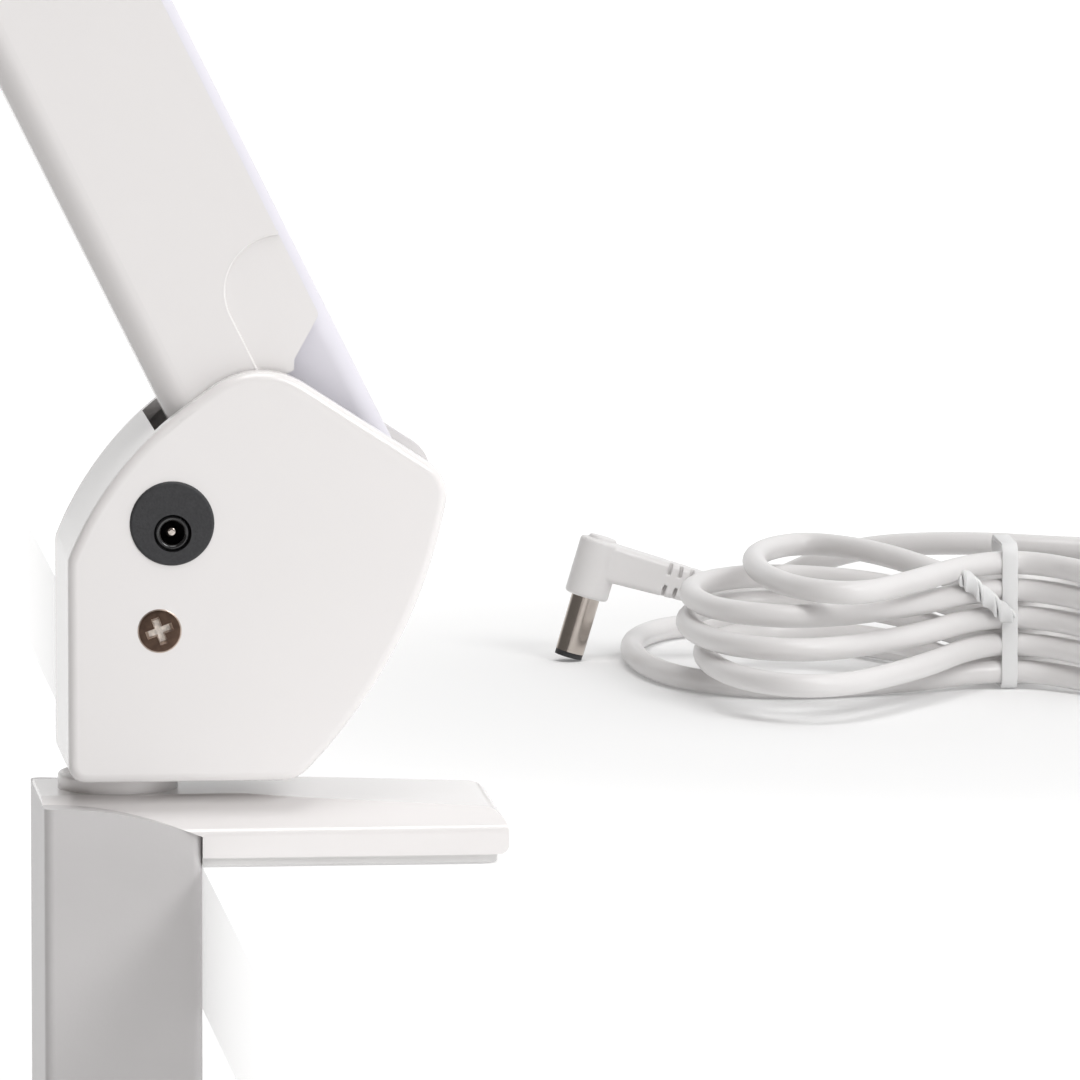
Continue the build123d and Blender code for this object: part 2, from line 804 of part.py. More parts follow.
def spring_pair(side, tie_place):
    """Two balance springs, from the tie pivot's pin to the stud in the main rail."""
    low = Vector(tie_place[0], 0, tie_place[1])
    high = side.from_local_coords((0, spring_stud_place, 0))
    reach = high - low
    along = reach.normalized()
    eye_out = spring_radius
    with BuildPart() as springs:
        for y in (-spring_spread, spring_spread):
            foot = Plane(
                origin=(low.X, y, low.Z), x_dir=(along.Z, 0, -along.X), z_dir=(0, -1, 0)
            )
            with BuildSketch(foot) as coil_profile:
                with BuildLine():
                    Polyline(
                        (0, eye_out - 0.4),
                        (0.7, eye_out - 0.4),
                        (0.7, 9.0),
                        (spring_radius, 13.0),
                        (spring_radius, reach.length - 13.0),
                        (0.7, reach.length - 9.0),
                        (0.7, reach.length - eye_out + 0.4),
                        (0, reach.length - eye_out + 0.4),
                        close=True,
                    )
                make_face()
            revolve(axis=Axis((low.X, y, low.Z), (along.X, along.Y, along.Z)))
            with BuildSketch(foot):
                Circle(eye_out)
                with Locations((0, reach.length)):
                    Circle(eye_out)
                Circle(tie_pin_radius + 0.1, mode=Mode.SUBTRACT)
                with Locations((0, reach.length)):
                    Circle(spring_stud_radius + 0.1, mode=Mode.SUBTRACT)
            extrude(amount=spring_eye_height / 2, both=True)
    return springs


for arm, start, start_tie, lean in (
    ("lower", main_pivot, foot_tie, lower_lean),
    ("upper", elbow_top, elbow_top_tie, upper_lean),
):
    main_side = upright(start, lean)
    tie_side = upright(start_tie, lean)
    export(outer_cover(main_side), arm + "_arm_outer_cover")
    export(rail(main_side), arm + "_arm_rail")
    export(spring_pair(main_side, start_tie), arm + "_arm_springs")
    export(inner_cover(tie_side), arm + "_arm_inner_cover")
    export(tie_bar(tie_side), arm + "_tie_bar")


# Elbow: two cheeks with a rim at the back, a steel bracket between the pins, and screws
def hull_outline(places, radius):
    with BuildSketch(side_view) as outline:
        for place in places:
            with Locations(place):
                Circle(radius)
        make_hull()
    return outline.sketch


def joint_cover(places, hand, screws, slot_cuts):
    """One moulded half of a joint's cover, open where the arms swing."""
    with BuildPart() as cover:
        extrude(hull_outline(places, elbow_radius), amount=-hand * shell_half)
        outer = faces().sort_by(Axis.Y)[0 if hand == front else -1]
        fillet(outer.edges(), shell_edge_radius)
        hollow = hull_outline(places, elbow_radius - shell_wall)
        extrude(hollow, amount=-hand * (shell_half - shell_wall), mode=Mode.SUBTRACT)
        for low, high in slot_cuts:
            with BuildSketch(side_view):
                with Locations(low):
                    Rectangle(high[0] - low[0], high[1] - low[1], align=(Align.MIN, Align.MIN))
            extrude(amount=-hand * (bracket_half - bracket_wall), mode=Mode.SUBTRACT)
        with BuildSketch(side_view.offset(-hand * (shell_half - shell_wall))):
            with Locations(*screws):
                Circle(joint_boss_radius)
        extrude(amount=hand * (shell_half - shell_wall))
        bore_end = shell_half if hand == front else shell_half - bore_stop
        with BuildSketch(side_view):
            with Locations(*screws):
                Circle(joint_screw_radius)
        extrude(amount=-hand * bore_end, mode=Mode.SUBTRACT)
        if hand == front:
            with BuildSketch(side_view.offset(shell_half)):
                with Locations(*screws):
                    Circle(joint_screw_head_radius)
            extrude(amount=-joint_screw_head_height, taper=screw_cone, mode=Mode.SUBTRACT)
    return cover


def joint_screws(places):
    with BuildPart() as screws:
        with BuildSketch(side_view.offset(shell_half)):
            with Locations(*places):
                Circle(joint_screw_head_radius)
        extrude(amount=-joint_screw_head_height, taper=screw_cone)
        with BuildSketch(side_view.offset(shell_half - joint_screw_head_height)):
            with Locations(*places):
                Circle(joint_screw_radius)
        extrude(amount=-(shell_half - joint_screw_head_height + joint_screw_reach))
    return screws


elbow_places = (elbow_main, elbow_tie, elbow_top)
elbow_screw_x = elbow_main[0] - elbow_radius + 5.2
elbow_screw_places = [
    (elbow_screw_x + 0.9, elbow_main[1] + 14.0),
    (elbow_screw_x + 3.9, elbow_main[1] + 33.0),
]
elbow_cuts = [
    ((elbow_main[0] - 9.0, elbow_main[1] - 40.0), (elbow_main[0] + 80.0, elbow_main[1] + 100.0)),
    ((elbow_main[0] - 40.0, elbow_main[1] - 40.0), (elbow_main[0] + 40.0, elbow_main[1] + 3.0)),
    ((elbow_main[0] - 40.0, elbow_top[1] + 7.0), (elbow_main[0] + 40.0, elbow_top[1] + 60.0)),
]
export(joint_cover(elbow_places, front, elbow_screw_places, elbow_cuts), "elbow_front_cover")
export(joint_cover(elbow_places, back, elbow_screw_places, elbow_cuts), "elbow_back_cover")
export(joint_screws(elbow_screw_places), "elbow_screws")

with BuildPart() as elbow_bracket:
    elbow_plate = hull_outline((elbow_main, elbow_tie, elbow_top), ear_radius)
    extrude(elbow_plate, amount=bracket_half, both=True)
    with BuildSketch(side_view):
        with Locations((elbow_main[0] - 40.0, elbow_main[1] - 40.0)):
            Rectangle(140, 160, align=(Align.MIN, Align.MIN))
        with BuildLine():
            Polyline(
                (elbow_main[0] - 40.0, elbow_main[1] + 20.0),
                (elbow_main[0] - 1.5, elbow_main[1] + 20.0),
                (elbow_main[0] - 1.5, elbow_main[1] + 31.0),
                (elbow_main[0] - 40.0, elbow_main[1] + 31.0),
                close=True,
            )
        make_face(mode=Mode.SUBTRACT)
    extrude(amount=bracket_half - bracket_wall, both=True, mode=Mode.SUBTRACT)
    with BuildSketch(side_view):
        with Locations(elbow_main, elbow_top):
            Circle(main_pin_radius)
        with Locations(elbow_tie, elbow_top_tie):
            Circle(tie_pin_radius)
    extrude(amount=bracket_half, both=True, mode=Mode.SUBTRACT)
export(elbow_bracket, "elbow_bracket")

# Head joint: bracket with the neck's socket, two covers, screws
neck_x = head_main[0] + neck_reach
socket_top = head_main[1] + 4.0
socket_bottom = socket_top - neck_socket_height
head_places = (head_main, head_tie, (neck_x, head_main[1] - 8.0))
with BuildPart() as head_bracket:
    extrude(hull_outline((head_main, head_tie), ear_radius), amount=bracket_half, both=True)
    with BuildSketch(side_view):
        with Locations((head_main[0], socket_bottom + 2.0)):
            Rectangle(neck_reach, neck_socket_height - 4.0, align=(Align.MIN, Align.MIN))
    extrude(amount=bracket_half, both=True)
    with BuildSketch(side_view):
        with Locations((head_main[0] - 30.0, head_tie[1] - 30.0)):
            Rectangle(30.0 + ear_radius + 4.5, 90.0, align=(Align.MIN, Align.MIN))
    extrude(amount=bracket_half - bracket_wall, both=True, mode=Mode.SUBTRACT)
    with BuildSketch(Plane.XY.offset(socket_bottom)):
        with Locations((neck_x, 0)):
            Circle(neck_socket_radius)
    extrude(amount=neck_socket_height)
    with BuildSketch(Plane.XY.offset(socket_bottom - 1.0)):
        with Locations((neck_x, 0)):
            Circle(neck_radius + pin_play)
    extrude(amount=neck_socket_height + 2.0, mode=Mode.SUBTRACT)
    with BuildSketch(side_view):
        with Locations(head_main):
            Circle(main_pin_radius)
        with Locations(head_tie):
            Circle(tie_pin_radius)
    extrude(amount=bracket_half, both=True, mode=Mode.SUBTRACT)
export(head_bracket, "head_bracket")

head_cut_low = (head_main[0] - 60.0, head_tie[1] - 60.0)
head_cut_width = neck_x + neck_socket_radius + 0.5 - head_cut_low[0]
for hand, name in ((front, "head_joint_front_cover"), (back, "head_joint_back_cover")):
    with BuildPart() as head_joint_cover:
        extrude(hull_outline(head_places, ear_radius + 4.0), amount=-hand * shell_half)
        outer = faces().sort_by(Axis.Y)[0 if hand == front else -1]
        fillet(outer.edges(), shell_edge_radius)
        with BuildSketch(side_view):
            with Locations(head_cut_low):
                Rectangle(head_cut_width, 140.0, align=(Align.MIN, Align.MIN))
        extrude(amount=-hand * bracket_half, mode=Mode.SUBTRACT)
    export(head_joint_cover, name)

# Neck: a post in the socket, and a fork for the tilt bolt
tilt_x = neck_x + tilt_reach
fork_top = socket_bottom - side_play
tilt_z = fork_top - neck_drop
fork_half = tilt_lug_half + side_play + tilt_ear_wall
with BuildPart() as neck_fork:
    with BuildSketch(Plane.XY.offset(tilt_z - 2.0)):
        with Locations((neck_x, 0)):
            Circle(neck_radius)
    extrude(amount=socket_top + 1.2 - (tilt_z - 2.0))
    with BuildSketch(side_view):
        with BuildLine():
            Polyline(
                (neck_x - 9.0, fork_top),
                (neck_x + 9.0, fork_top),
                (tilt_x + tilt_ear_radius * 0.7, tilt_z + tilt_ear_radius * 0.7),
                (tilt_x, tilt_z - tilt_ear_radius),
                (neck_x - 4.0, tilt_z - tilt_ear_radius),
                (neck_x - 9.0, tilt_z - 2.0),
                close=True,
            )
        make_face()
        with Locations((tilt_x, tilt_z)):
            Circle(tilt_ear_radius)
    extrude(amount=fork_half, both=True)
    with BuildSketch(side_view):
        with Locations((neck_x + 5.5, tilt_z - 30.0)):
            Rectangle(60.0, 60.0, align=(Align.MIN, Align.MIN))
    extrude(amount=tilt_lug_half + side_play, both=True, mode=Mode.SUBTRACT)
    with BuildSketch(side_view):
        with Locations((tilt_x, tilt_z)):
            Circle(tilt_bolt_radius)
    extrude(amount=fork_half, both=True, mode=Mode.SUBTRACT)
export(neck_fork, "neck_fork")

with BuildPart() as tilt_bolt:
    with BuildSketch(side_view.offset(-fork_half)):
        with Locations((tilt_x, tilt_z)):
            RegularPolygon(bolt_head_radius, 6)
    extrude(amount=-bolt_head_height)
    with BuildSketch(side_view.offset(-fork_half)):
        with Locations((tilt_x, tilt_z)):
            Circle(tilt_bolt_radius)
    extrude(amount=2 * fork_half + tilt_knob_height - 4.0)
export(tilt_bolt, "tilt_bolt")

with BuildPart() as tilt_knob:
    with BuildSketch(side_view.offset(fork_half + side_play)):
        with Locations((tilt_x, tilt_z)):
            Circle(tilt_knob_radius - 1.5)
            with PolarLocations(tilt_knob_radius - 2.0, 8):
                Circle(2.0)
    extrude(amount=tilt_knob_height)
    fillet(edges().group_by(Axis.Y)[0], 0.8)
    with BuildSketch(side_view.offset(fork_half)):
        with Locations((tilt_x, tilt_z)):
            Circle(tilt_bolt_radius + pin_play)
    extrude(amount=tilt_knob_height - 3.0, mode=Mode.SUBTRACT)
export(tilt_knob, "tilt_knob")

# Head: two shells round the lens, with a lug for the tilt bolt
head_x = tilt_x + head_gap + head_radius
split_z = tilt_z
shell_top = split_z + head_rise
shell_bottom = split_z - head_fall
head_axis = Axis((head_x, 0, 0), (0, 0, 1))
hinge_place = (head_x - cover_hinge_reach, shell_top + cover_hinge_rise)


def ring_profile(points, rounds=()):
    """Half section of a ring about the head's axis, from radius and height pairs."""
    with BuildSketch(Plane(origin=(head_x, 0, 0), x_dir=(1, 0, 0), z_dir=(0, -1, 0))) as profile:
        with BuildLine():
            Polyline(*points, close=True)
        make_face()
        for place, radius in rounds:
            fillet(vertices().sort_by_distance(place)[0], radius)
    return profile.sketch


lens_mouth = lens_radius - lens_seat
with BuildPart() as head_upper_shell:
    revolve(
        ring_profile(
            [
                (lens_mouth, shell_top),
                (head_radius, shell_top),
                (head_radius, split_z),
                (head_radius - head_wall, split_z),
                (head_radius - head_wall, shell_top - head_wall),
                (lens_radius + head_wall, shell_top - head_wall),
                (lens_radius + head_wall, split_z),
                (lens_radius, split_z),
                (lens_radius, shell_top - head_wall),
                (lens_mouth, shell_top - head_wall),
            ],
            [
                ((head_radius, shell_top), 12.0),
                ((head_radius - head_wall, shell_top - head_wall), 9.6),
            ],
        ),
        axis=head_axis,
    )
    with BuildSketch(Plane.XY.offset(shell_top - button_depth)):
        with Locations((head_x - button_place, 0)):
            Circle(button_radius + side_play)
    extrude(amount=2 * button_depth, mode=Mode.SUBTRACT)
    # hinge ears of the lens cover
    ear_half = cover_knuckle_half + hinge_ear_width
    with BuildSketch(side_view):
        with Locations(hinge_place):
            Circle(hinge_ear_radius)
        with Locations((hinge_place[0] - hinge_ear_radius, shell_top - head_wall)):
            Rectangle(
                2 * hinge_ear_radius,
                head_wall + cover_hinge_rise,
                align=(Align.MIN, Align.MIN),
            )
    extrude(amount=ear_half, both=True)
    with BuildSketch(side_view):
        with Locations((hinge_place[0] - 1.5 * hinge_ear_radius, shell_top)):
            Rectangle(3 * hinge_ear_radius, 3 * hinge_ear_radius, align=(Align.MIN, Align.MIN))
    extrude(amount=cover_knuckle_half + side_play, both=True, mode=Mode.SUBTRACT)
    with BuildSketch(side_view):
        with Locations(hinge_place):
            Circle(cover_pin_radius)
    extrude(amount=ear_half, both=True, mode=Mode.SUBTRACT)
export(head_upper_shell, "head_upper_shell")

with BuildPart() as cover_hinge_pin:
    with BuildSketch(side_view):
        with Locations(hinge_place):
            Circle(cover_pin_radius)
    extrude(amount=ear_half, both=True)
export(cover_hinge_pin, "cover_hinge_pin")

with BuildPart() as head_lower_shell:
    revolve(
        ring_profile(
            [
                (lens_mouth, split_z - lens_edge),
                (lens_radius + head_wall, split_z - lens_edge),
                (lens_radius + head_wall, shell_bottom + diffuser_height),
                (lamp_ring_inner, shell_bottom + diffuser_height),
                (lamp_ring_inner, shell_bottom),
                (lens_mouth, shell_bottom),
            ],
        ),
        axis=head_axis,
    )
    revolve(
        ring_profile(
            [
                (lamp_ring_outer, shell_bottom),
                (head_radius, shell_bottom),
                (head_radius, split_z),
                (head_radius - head_wall, split_z),
                (head_radius - head_wall, shell_bottom + diffuser_height),
                (lamp_ring_outer, shell_bottom + diffuser_height),
            ],
            [((head_radius, shell_bottom), 5.0)],
        ),
        axis=head_axis,
    )
    revolve(
        ring_profile(
            [
                (lens_radius + head_wall, split_z - lens_edge),
                (head_radius - head_wall, split_z - lens_edge),
                (head_radius - head_wall, split_z - lens_edge - shelf_wall),
                (lens_radius + head_wall, split_z - lens_edge - shelf_wall),
            ],
        ),
        axis=head_axis,
    )
export(head_lower_shell, "head_lower_shell")


def crown_at(radius, share):
    """Height of a spherical lens face above its rim, at a share of the rim's radius."""
    sphere = (radius**2 + lens_crown**2) / (2 * lens_crown)
    return lens_crown - sphere + sqrt(sphere**2 - (share * radius) ** 2)


with BuildPart() as lens:
    with BuildSketch(Plane(origin=(head_x, 0, 0), x_dir=(1, 0, 0), z_dir=(0, -1, 0))):
        with BuildLine():
            ThreePointArc(
                (lens_radius, split_z),
                (lens_radius / 2, split_z + crown_at(lens_radius, 0.5)),
                (0, split_z + lens_crown),
            )
            Line((0, split_z + lens_crown), (0, split_z - lens_edge - lens_crown))
            ThreePointArc(
                (0, split_z - lens_edge - lens_crown),
                (lens_mouth / 2, split_z - lens_edge - crown_at(lens_mouth, 0.5)),
                (lens_mouth, split_z - lens_edge),
            )
            Line((lens_mouth, split_z - lens_edge), (lens_radius, split_z - lens_edge))
            Line((lens_radius, split_z - lens_edge), (lens_radius, split_z))
        make_face()
    revolve(axis=head_axis)
export(lens, "lens")

lens_ring_bottom = split_z + crown_at(lens_radius, lens_mouth / lens_radius)
with BuildPart() as lens_ring:
    revolve(
        ring_profile(
            [
                (lens_mouth, lens_ring_bottom),
                (lens_radius, lens_ring_bottom),
                (lens_radius, shell_top - head_wall),
                (lens_mouth, shell_top - head_wall),
            ],
        ),
        axis=head_axis,
    )
export(lens_ring, "lens_ring")

with BuildPart() as diffuser:
    revolve(
        ring_profile(
            [
                (lamp_ring_inner, shell_bottom),
                (lamp_ring_outer, shell_bottom),
                (lamp_ring_outer, shell_bottom + diffuser_height),
                (lamp_ring_inner, shell_bottom + diffuser_height),
            ],
        ),
        axis=head_axis,
    )
export(diffuser, "diffuser")

board_top = split_z - lens_edge - shelf_wall
with BuildPart() as led_board:
    revolve(
        ring_profile(
            [
                (lens_radius + head_wall, board_top - board_height),
                (head_radius - head_wall, board_top - board_height),
                (head_radius - head_wall, board_top),
                (lens_radius + head_wall, board_top),
            ],
        ),
        axis=head_axis,
    )
export(led_board, "led_board")

with BuildPart() as leds:
    with BuildSketch(Plane.XY.offset(board_top - board_height)):
        with Locations((head_x, 0)):
            with PolarLocations((lamp_ring_inner + lamp_ring_outer) / 2, led_count):
                Rectangle(led_size, led_size)
    extrude(amount=-led_height)
export(leds, "leds")

with BuildPart() as head_lug:
    with BuildSketch(side_view):
        with Locations((tilt_x, tilt_z)):
            Circle(tilt_ear_radius - 0.5)
        with Locations((tilt_x, tilt_z)):
            Rectangle(head_gap + 1.0, 12.0, align=(Align.MIN, Align.CENTER))
    extrude(amount=tilt_lug_half, both=True)
    with BuildSketch(side_view):
        with Locations((tilt_x, tilt_z)):
            Circle(tilt_bolt_radius + pin_play)
    extrude(amount=tilt_lug_half, both=True, mode=Mode.SUBTRACT)
    with BuildSketch(Plane.XY.offset(tilt_z - 20.0)):
        with Locations((head_x, 0)):
            Circle(head_radius)
    extrude(amount=40.0, mode=Mode.SUBTRACT)
export(head_lug, "head_lug")

# Lens cover, closed over the lens, with its hinge knuckle
cover_bottom = shell_top + side_play
cover_edge_top = cover_bottom + cover_disc_height
with BuildPart() as lens_cover:
    revolve(
        ring_profile(
            [
                (0, cover_bottom),
                (cover_disc_radius, cover_bottom),
                (cover_disc_radius, cover_edge_top),
                (0, cover_edge_top + cover_crown),
            ],
            [((cover_disc_radius, cover_edge_top), cover_disc_height / 2)],
        ),
        axis=head_axis,
    )
    with BuildSketch(side_view):
        with Locations(hinge_place):
            Circle(cover_knuckle_radius)
            Rectangle(
                cover_hinge_gap + 2 * cover_disc_height,
                cover_knuckle_radius,
                align=(Align.MIN, Align.CENTER),
            )
    extrude(amount=cover_knuckle_half, both=True)
    with BuildSketch(side_view):
        with Locations(hinge_place):
            Circle(cover_pin_radius + pin_play)
    extrude(amount=cover_knuckle_half, both=True, mode=Mode.SUBTRACT)
export(lens_cover, "lens_cover")

with BuildPart() as power_button:
    with BuildSketch(Plane.XY.offset(shell_top - button_depth)):
        with Locations((head_x - button_place, 0)):
            Circle(button_radius)
    extrude(amount=button_depth + button_rise)
    fillet(edges().group_by(Axis.Z)[-1], 1.0)
export(power_button, "power_button")

# Plug: a round body on the barrel, and a ribbed boot to the cord
plug_angle = radians(plug_tilt)
plug_side = Plane(
    origin=(plug_foot[0], plug_foot[1], barrel_radius * sin(plug_angle)),
    x_dir=(cos(plug_angle), 0, -sin(plug_angle)),
    z_dir=(0, -1, 0),
)
plug_axis = Axis(plug_side.origin, plug_side.y_dir)


def plug_sleeve(outer, low, high):
    with BuildPart() as sleeve:
        with BuildSketch(plug_side):
            with BuildLine():
                Polyline(
                    (barrel_bore, low),
                    (outer, low),
                    (outer, high),
                    (barrel_bore, high),
                    close=True,
                )
            make_face()
        revolve(axis=plug_axis)
    return sleeve


body_low = barrel_tip + barrel_length
body_high = body_low + plug_body_height
export(plug_sleeve(barrel_radius - 0.1, 0, barrel_tip), "dc_plug_tip")
export(plug_sleeve(barrel_radius, barrel_tip, body_low), "dc_plug_barrel")
arm_middle = body_high - boot_start_height / 2
boot_tip = plug_body_radius + boot_length
with BuildPart() as dc_plug_body:
    with BuildSketch(plug_side):
        with BuildLine():
            Polyline(
                (0, body_low),
                (plug_body_radius, body_low),
                (plug_body_radius, body_high),
                (plug_cap_radius, body_high),
                (plug_cap_radius, body_high + plug_cap_height),
                (0, body_high + plug_cap_height),
                close=True,
            )
        make_face()
        fillet(vertices().sort_by_distance((plug_body_radius, body_high))[0], 0.9)
    revolve(axis=plug_axis)
    arm_start = Plane(
        origin=plug_side.from_local_coords((0, arm_middle, 0)),
        x_dir=(0, 1, 0),
        z_dir=plug_side.x_dir,
    )
    with BuildSketch(arm_start):
        RectangleRounded(2 * plug_body_radius - 1.2, boot_start_height - 0.4, 2.0)
    with BuildSketch(arm_start.offset(boot_tip)):
        RectangleRounded(boot_end_height, boot_end_height, 2.0)
    loft()
    for n in range(boot_slots):
        along_boot = boot_tip - 1.4 - n * boot_slot_pitch
        with BuildSketch(arm_start.offset(along_boot - boot_slot)):
            for hand in (1, -1):
                with Locations((0, hand * 4.6), (hand * 5.0, 0)):
                    Rectangle(5.2, 5.2)
        extrude(amount=boot_slot, mode=Mode.SUBTRACT)
export(dc_plug_body, "dc_plug_body")


# Cord: a lead from the boot, a tied hank, and a tail to the adapter
def corner_radii(points):
    """Radius of the arc at each corner, as large as the shorter run beside it allows."""
    vectors = [Vector(*p) for p in points]
    radii = []
    for before, at, after in zip(vectors, vectors[1:], vectors[2:]):
        turn = radians((at - before).get_angle(after - at))
        shorter = min((at - before).length, (after - at).length)
        radii.append(0.45 * shorter / tan(turn / 2))
    return radii


def cord_tube(points, name):
    radii = corner_radii(points)
    with BuildPart() as tube:
        with BuildLine() as route:
            FilletPolyline(*points, radius=radii)
        line = route.wires()[0]
        with BuildSketch(Plane(origin=line @ 0, z_dir=line % 0)):
            Circle(cord_radius)
        sweep()
    share = tube.part.volume / (pi * cord_radius**2 * line.length)
    print(f"{name}: {line.length:.0f} mm, least radius {min(radii):.1f} mm")
    print(f"{name}: volume is {share:.4f} of section times length")
    export(tube, name)
    return line


def beyond(point, way, reach):
    return tuple(Vector(*point) + way * reach)


# Hank: turns lie on each other and are drawn in at the tied waist; the left lobes fan out
left_reach = (48.0, 68.8, 61.5, 59.0, 68.0)
left_half = (43.0, 35.0, 41.0, 45.0, 52.0)
left_shift = (0.0, 0.0, -4.0, -13.0, 34.0)
right_reach = (44.0, 47.0, 50.0, 47.0, 45.0)
right_half = (25.0, 27.0, 28.0, 26.0, 21.0)
merge_reach = 20.0
waist_x, waist_y = hank_waist
waist_lift = tie_band_wall + 0.2
hank_points = []
for turn in range(hank_turns):
    level = cord_radius + (hank_turns - 1 - turn) * hank_step
    if turn > 0:
        hank_points += [
            (waist_x - waist_run, waist_y + hank_waist_half, level + waist_lift),
            (waist_x + waist_run, waist_y + hank_waist_half, level + waist_lift),
        ]
    reach, half = right_reach[turn], right_half[turn]
    hank_points += [
        (waist_x + 0.42 * reach, waist_y + 0.94 * half, level),
        (waist_x + 0.86 * reach, waist_y + 0.86 * half, level),
        (waist_x + 1.02 * reach, waist_y + 0.3, level),
        (waist_x + 0.85 * reach, waist_y - 0.87 * half, level),
        (waist_x + 0.41 * reach, waist_y - 0.93 * half, level),
        (waist_x + waist_run, waist_y - hank_waist_half, level + waist_lift),
        (waist_x - waist_run, waist_y - hank_waist_half, level + waist_lift),
    ]
    reach, half = left_reach[turn], left_half[turn]
    middle = waist_y + left_shift[turn]
    merge_middle = waist_y + 0.5 * left_shift[turn]
    hank_points += [
        (waist_x - merge_reach, merge_middle - 0.5 * half, level),
        (waist_x - 0.70 * reach, middle - 0.98 * half, level),
        (waist_x - 0.97 * reach, middle - 0.55 * half, level),
        (waist_x - 0.99 * reach, middle + 0.45 * half, level),
        (waist_x - 0.72 * reach, middle + 0.99 * half, level),
        (waist_x - merge_reach, merge_middle + 0.5 * half, level),
    ]
strand_beside = waist_y + hank_waist_half + hank_step + 0.3
hank_points += [
    (waist_x - waist_run, strand_beside, cord_radius + waist_lift),
    (waist_x + 0.7 * waist_run, strand_beside, cord_radius + waist_lift),
    (waist_x + 0.7 * waist_run + 4.5, strand_beside + 13.0, cord_radius + waist_lift),
]
first_run = Vector(*hank_points[1]) - Vector(*hank_points[0])
last_run = Vector(*hank_points[-1]) - Vector(*hank_points[-2])

boot_end = plug_side.from_local_coords((boot_tip, arm_middle, 0))
lead_points = [
    tuple(boot_end),
    beyond(boot_end, plug_side.x_dir, 7.0),
    (boot_end.X + 14.0, plug_foot[1] + 4.0, 14.5),
    (boot_end.X + 27.0, plug_foot[1] - 4.0, 21.5),
    (waist_x - 5.0, waist_y + 31.5, hank_points[0][2] + 0.8),
    beyond(hank_points[0], first_run.normalized(), -9.0),
    hank_points[0],
]
cord_tube(lead_points, "cord_lead")
hank_line = cord_tube(hank_points, "cord_hank")

relief_x = adapter_place[0] - adapter_size[0] / 2
relief_end = (relief_x - adapter_relief_length, adapter_place[1], adapter_relief_z)
tail_points = [
    hank_points[-1],
    beyond(hank_points[-1], last_run.normalized(), 13.0),
    (waist_x + 34.0, waist_y + 39.0, cord_radius),
    (waist_x + 45.0, waist_y + 37.0, cord_radius + 1.2),
    (relief_end[0] - 9.0, relief_end[1], relief_end[2]),
    relief_end,
]
cord_tube(tail_points, "cord_tail")

# Least gap of the hank to itself, on points along its centre line
gap_samples = 1400
samples = [hank_line @ (i / gap_samples) for i in range(gap_samples + 1)]
skip = int(6 * cord_diameter / (hank_line.length / gap_samples))
least = min(
    ((samples[i] - samples[j]).length, i, j)
    for i in range(0, gap_samples + 1, 2)
    for j in range(i + skip, gap_samples + 1, 2)
)
print(f"hank's least gap to itself {least[0] - cord_diameter:.2f} mm")

# Twist tie round the waist of the hank
band_low = waist_y - hank_waist_half - cord_radius - side_play
band_high = strand_beside + cord_radius + side_play
band_top = waist_lift + cord_diameter + (hank_turns - 1) * hank_step + side_play
with BuildPart() as twist_tie:
    with BuildSketch(Plane.YZ.offset(waist_x - tie_band_width / 2)):
        with Locations((band_low - tie_band_wall, 0)):
            Rectangle(
                band_high - band_low + 2 * tie_band_wall,
                band_top + tie_band_wall,
                align=(Align.MIN, Align.MIN),
            )
        fillet(vertices().group_by(Axis.Y)[-1], 2.6)
        with Locations((band_low, tie_band_wall)):
            Rectangle(
                band_high - band_low,
                band_top - tie_band_wall,
                align=(Align.MIN, Align.MIN),
                mode=Mode.SUBTRACT,
            )
    extrude(amount=tie_band_width)
export(twist_tie, "twist_tie")

# Mains adapter: two case halves, strain relief and flat prongs
ax, ay = adapter_place
with BuildPart() as adapter_lower_case:
    with BuildSketch(Plane.XY):
        with Locations((ax, ay)):
            RectangleRounded(adapter_size[0], adapter_size[1], adapter_corner)
    extrude(amount=adapter_size[2] / 2)
    fillet(edges().group_by(Axis.Z)[0], 2.0)
export(adapter_lower_case, "adapter_lower_case")

with BuildPart() as adapter_upper_case:
    with BuildSketch(Plane.XY.offset(adapter_size[2] / 2)):
        with Locations((ax, ay)):
            RectangleRounded(adapter_size[0], adapter_size[1], adapter_corner)
    extrude(amount=adapter_size[2] / 2)
    fillet(edges().group_by(Axis.Z)[-1], 2.5)
export(adapter_upper_case, "adapter_upper_case")

with BuildPart() as adapter_relief:
    relief_plane = Plane(origin=relief_end, z_dir=(1, 0, 0))
    with BuildSketch(relief_plane):
        Circle(cord_radius + 0.7)
    with BuildSketch(relief_plane.offset(adapter_relief_length)):
        Circle(adapter_relief_radius)
    loft()
export(adapter_relief, "adapter_relief")

with BuildPart() as adapter_prongs:
    with BuildSketch(Plane.YZ.offset(ax + adapter_size[0] / 2)):
        with Locations((ay - prong_spacing / 2, prong_z), (ay + prong_spacing / 2, prong_z)):
            Rectangle(*prong_size)
    extrude(amount=prong_length)
export(adapter_prongs, "adapter_prongs")
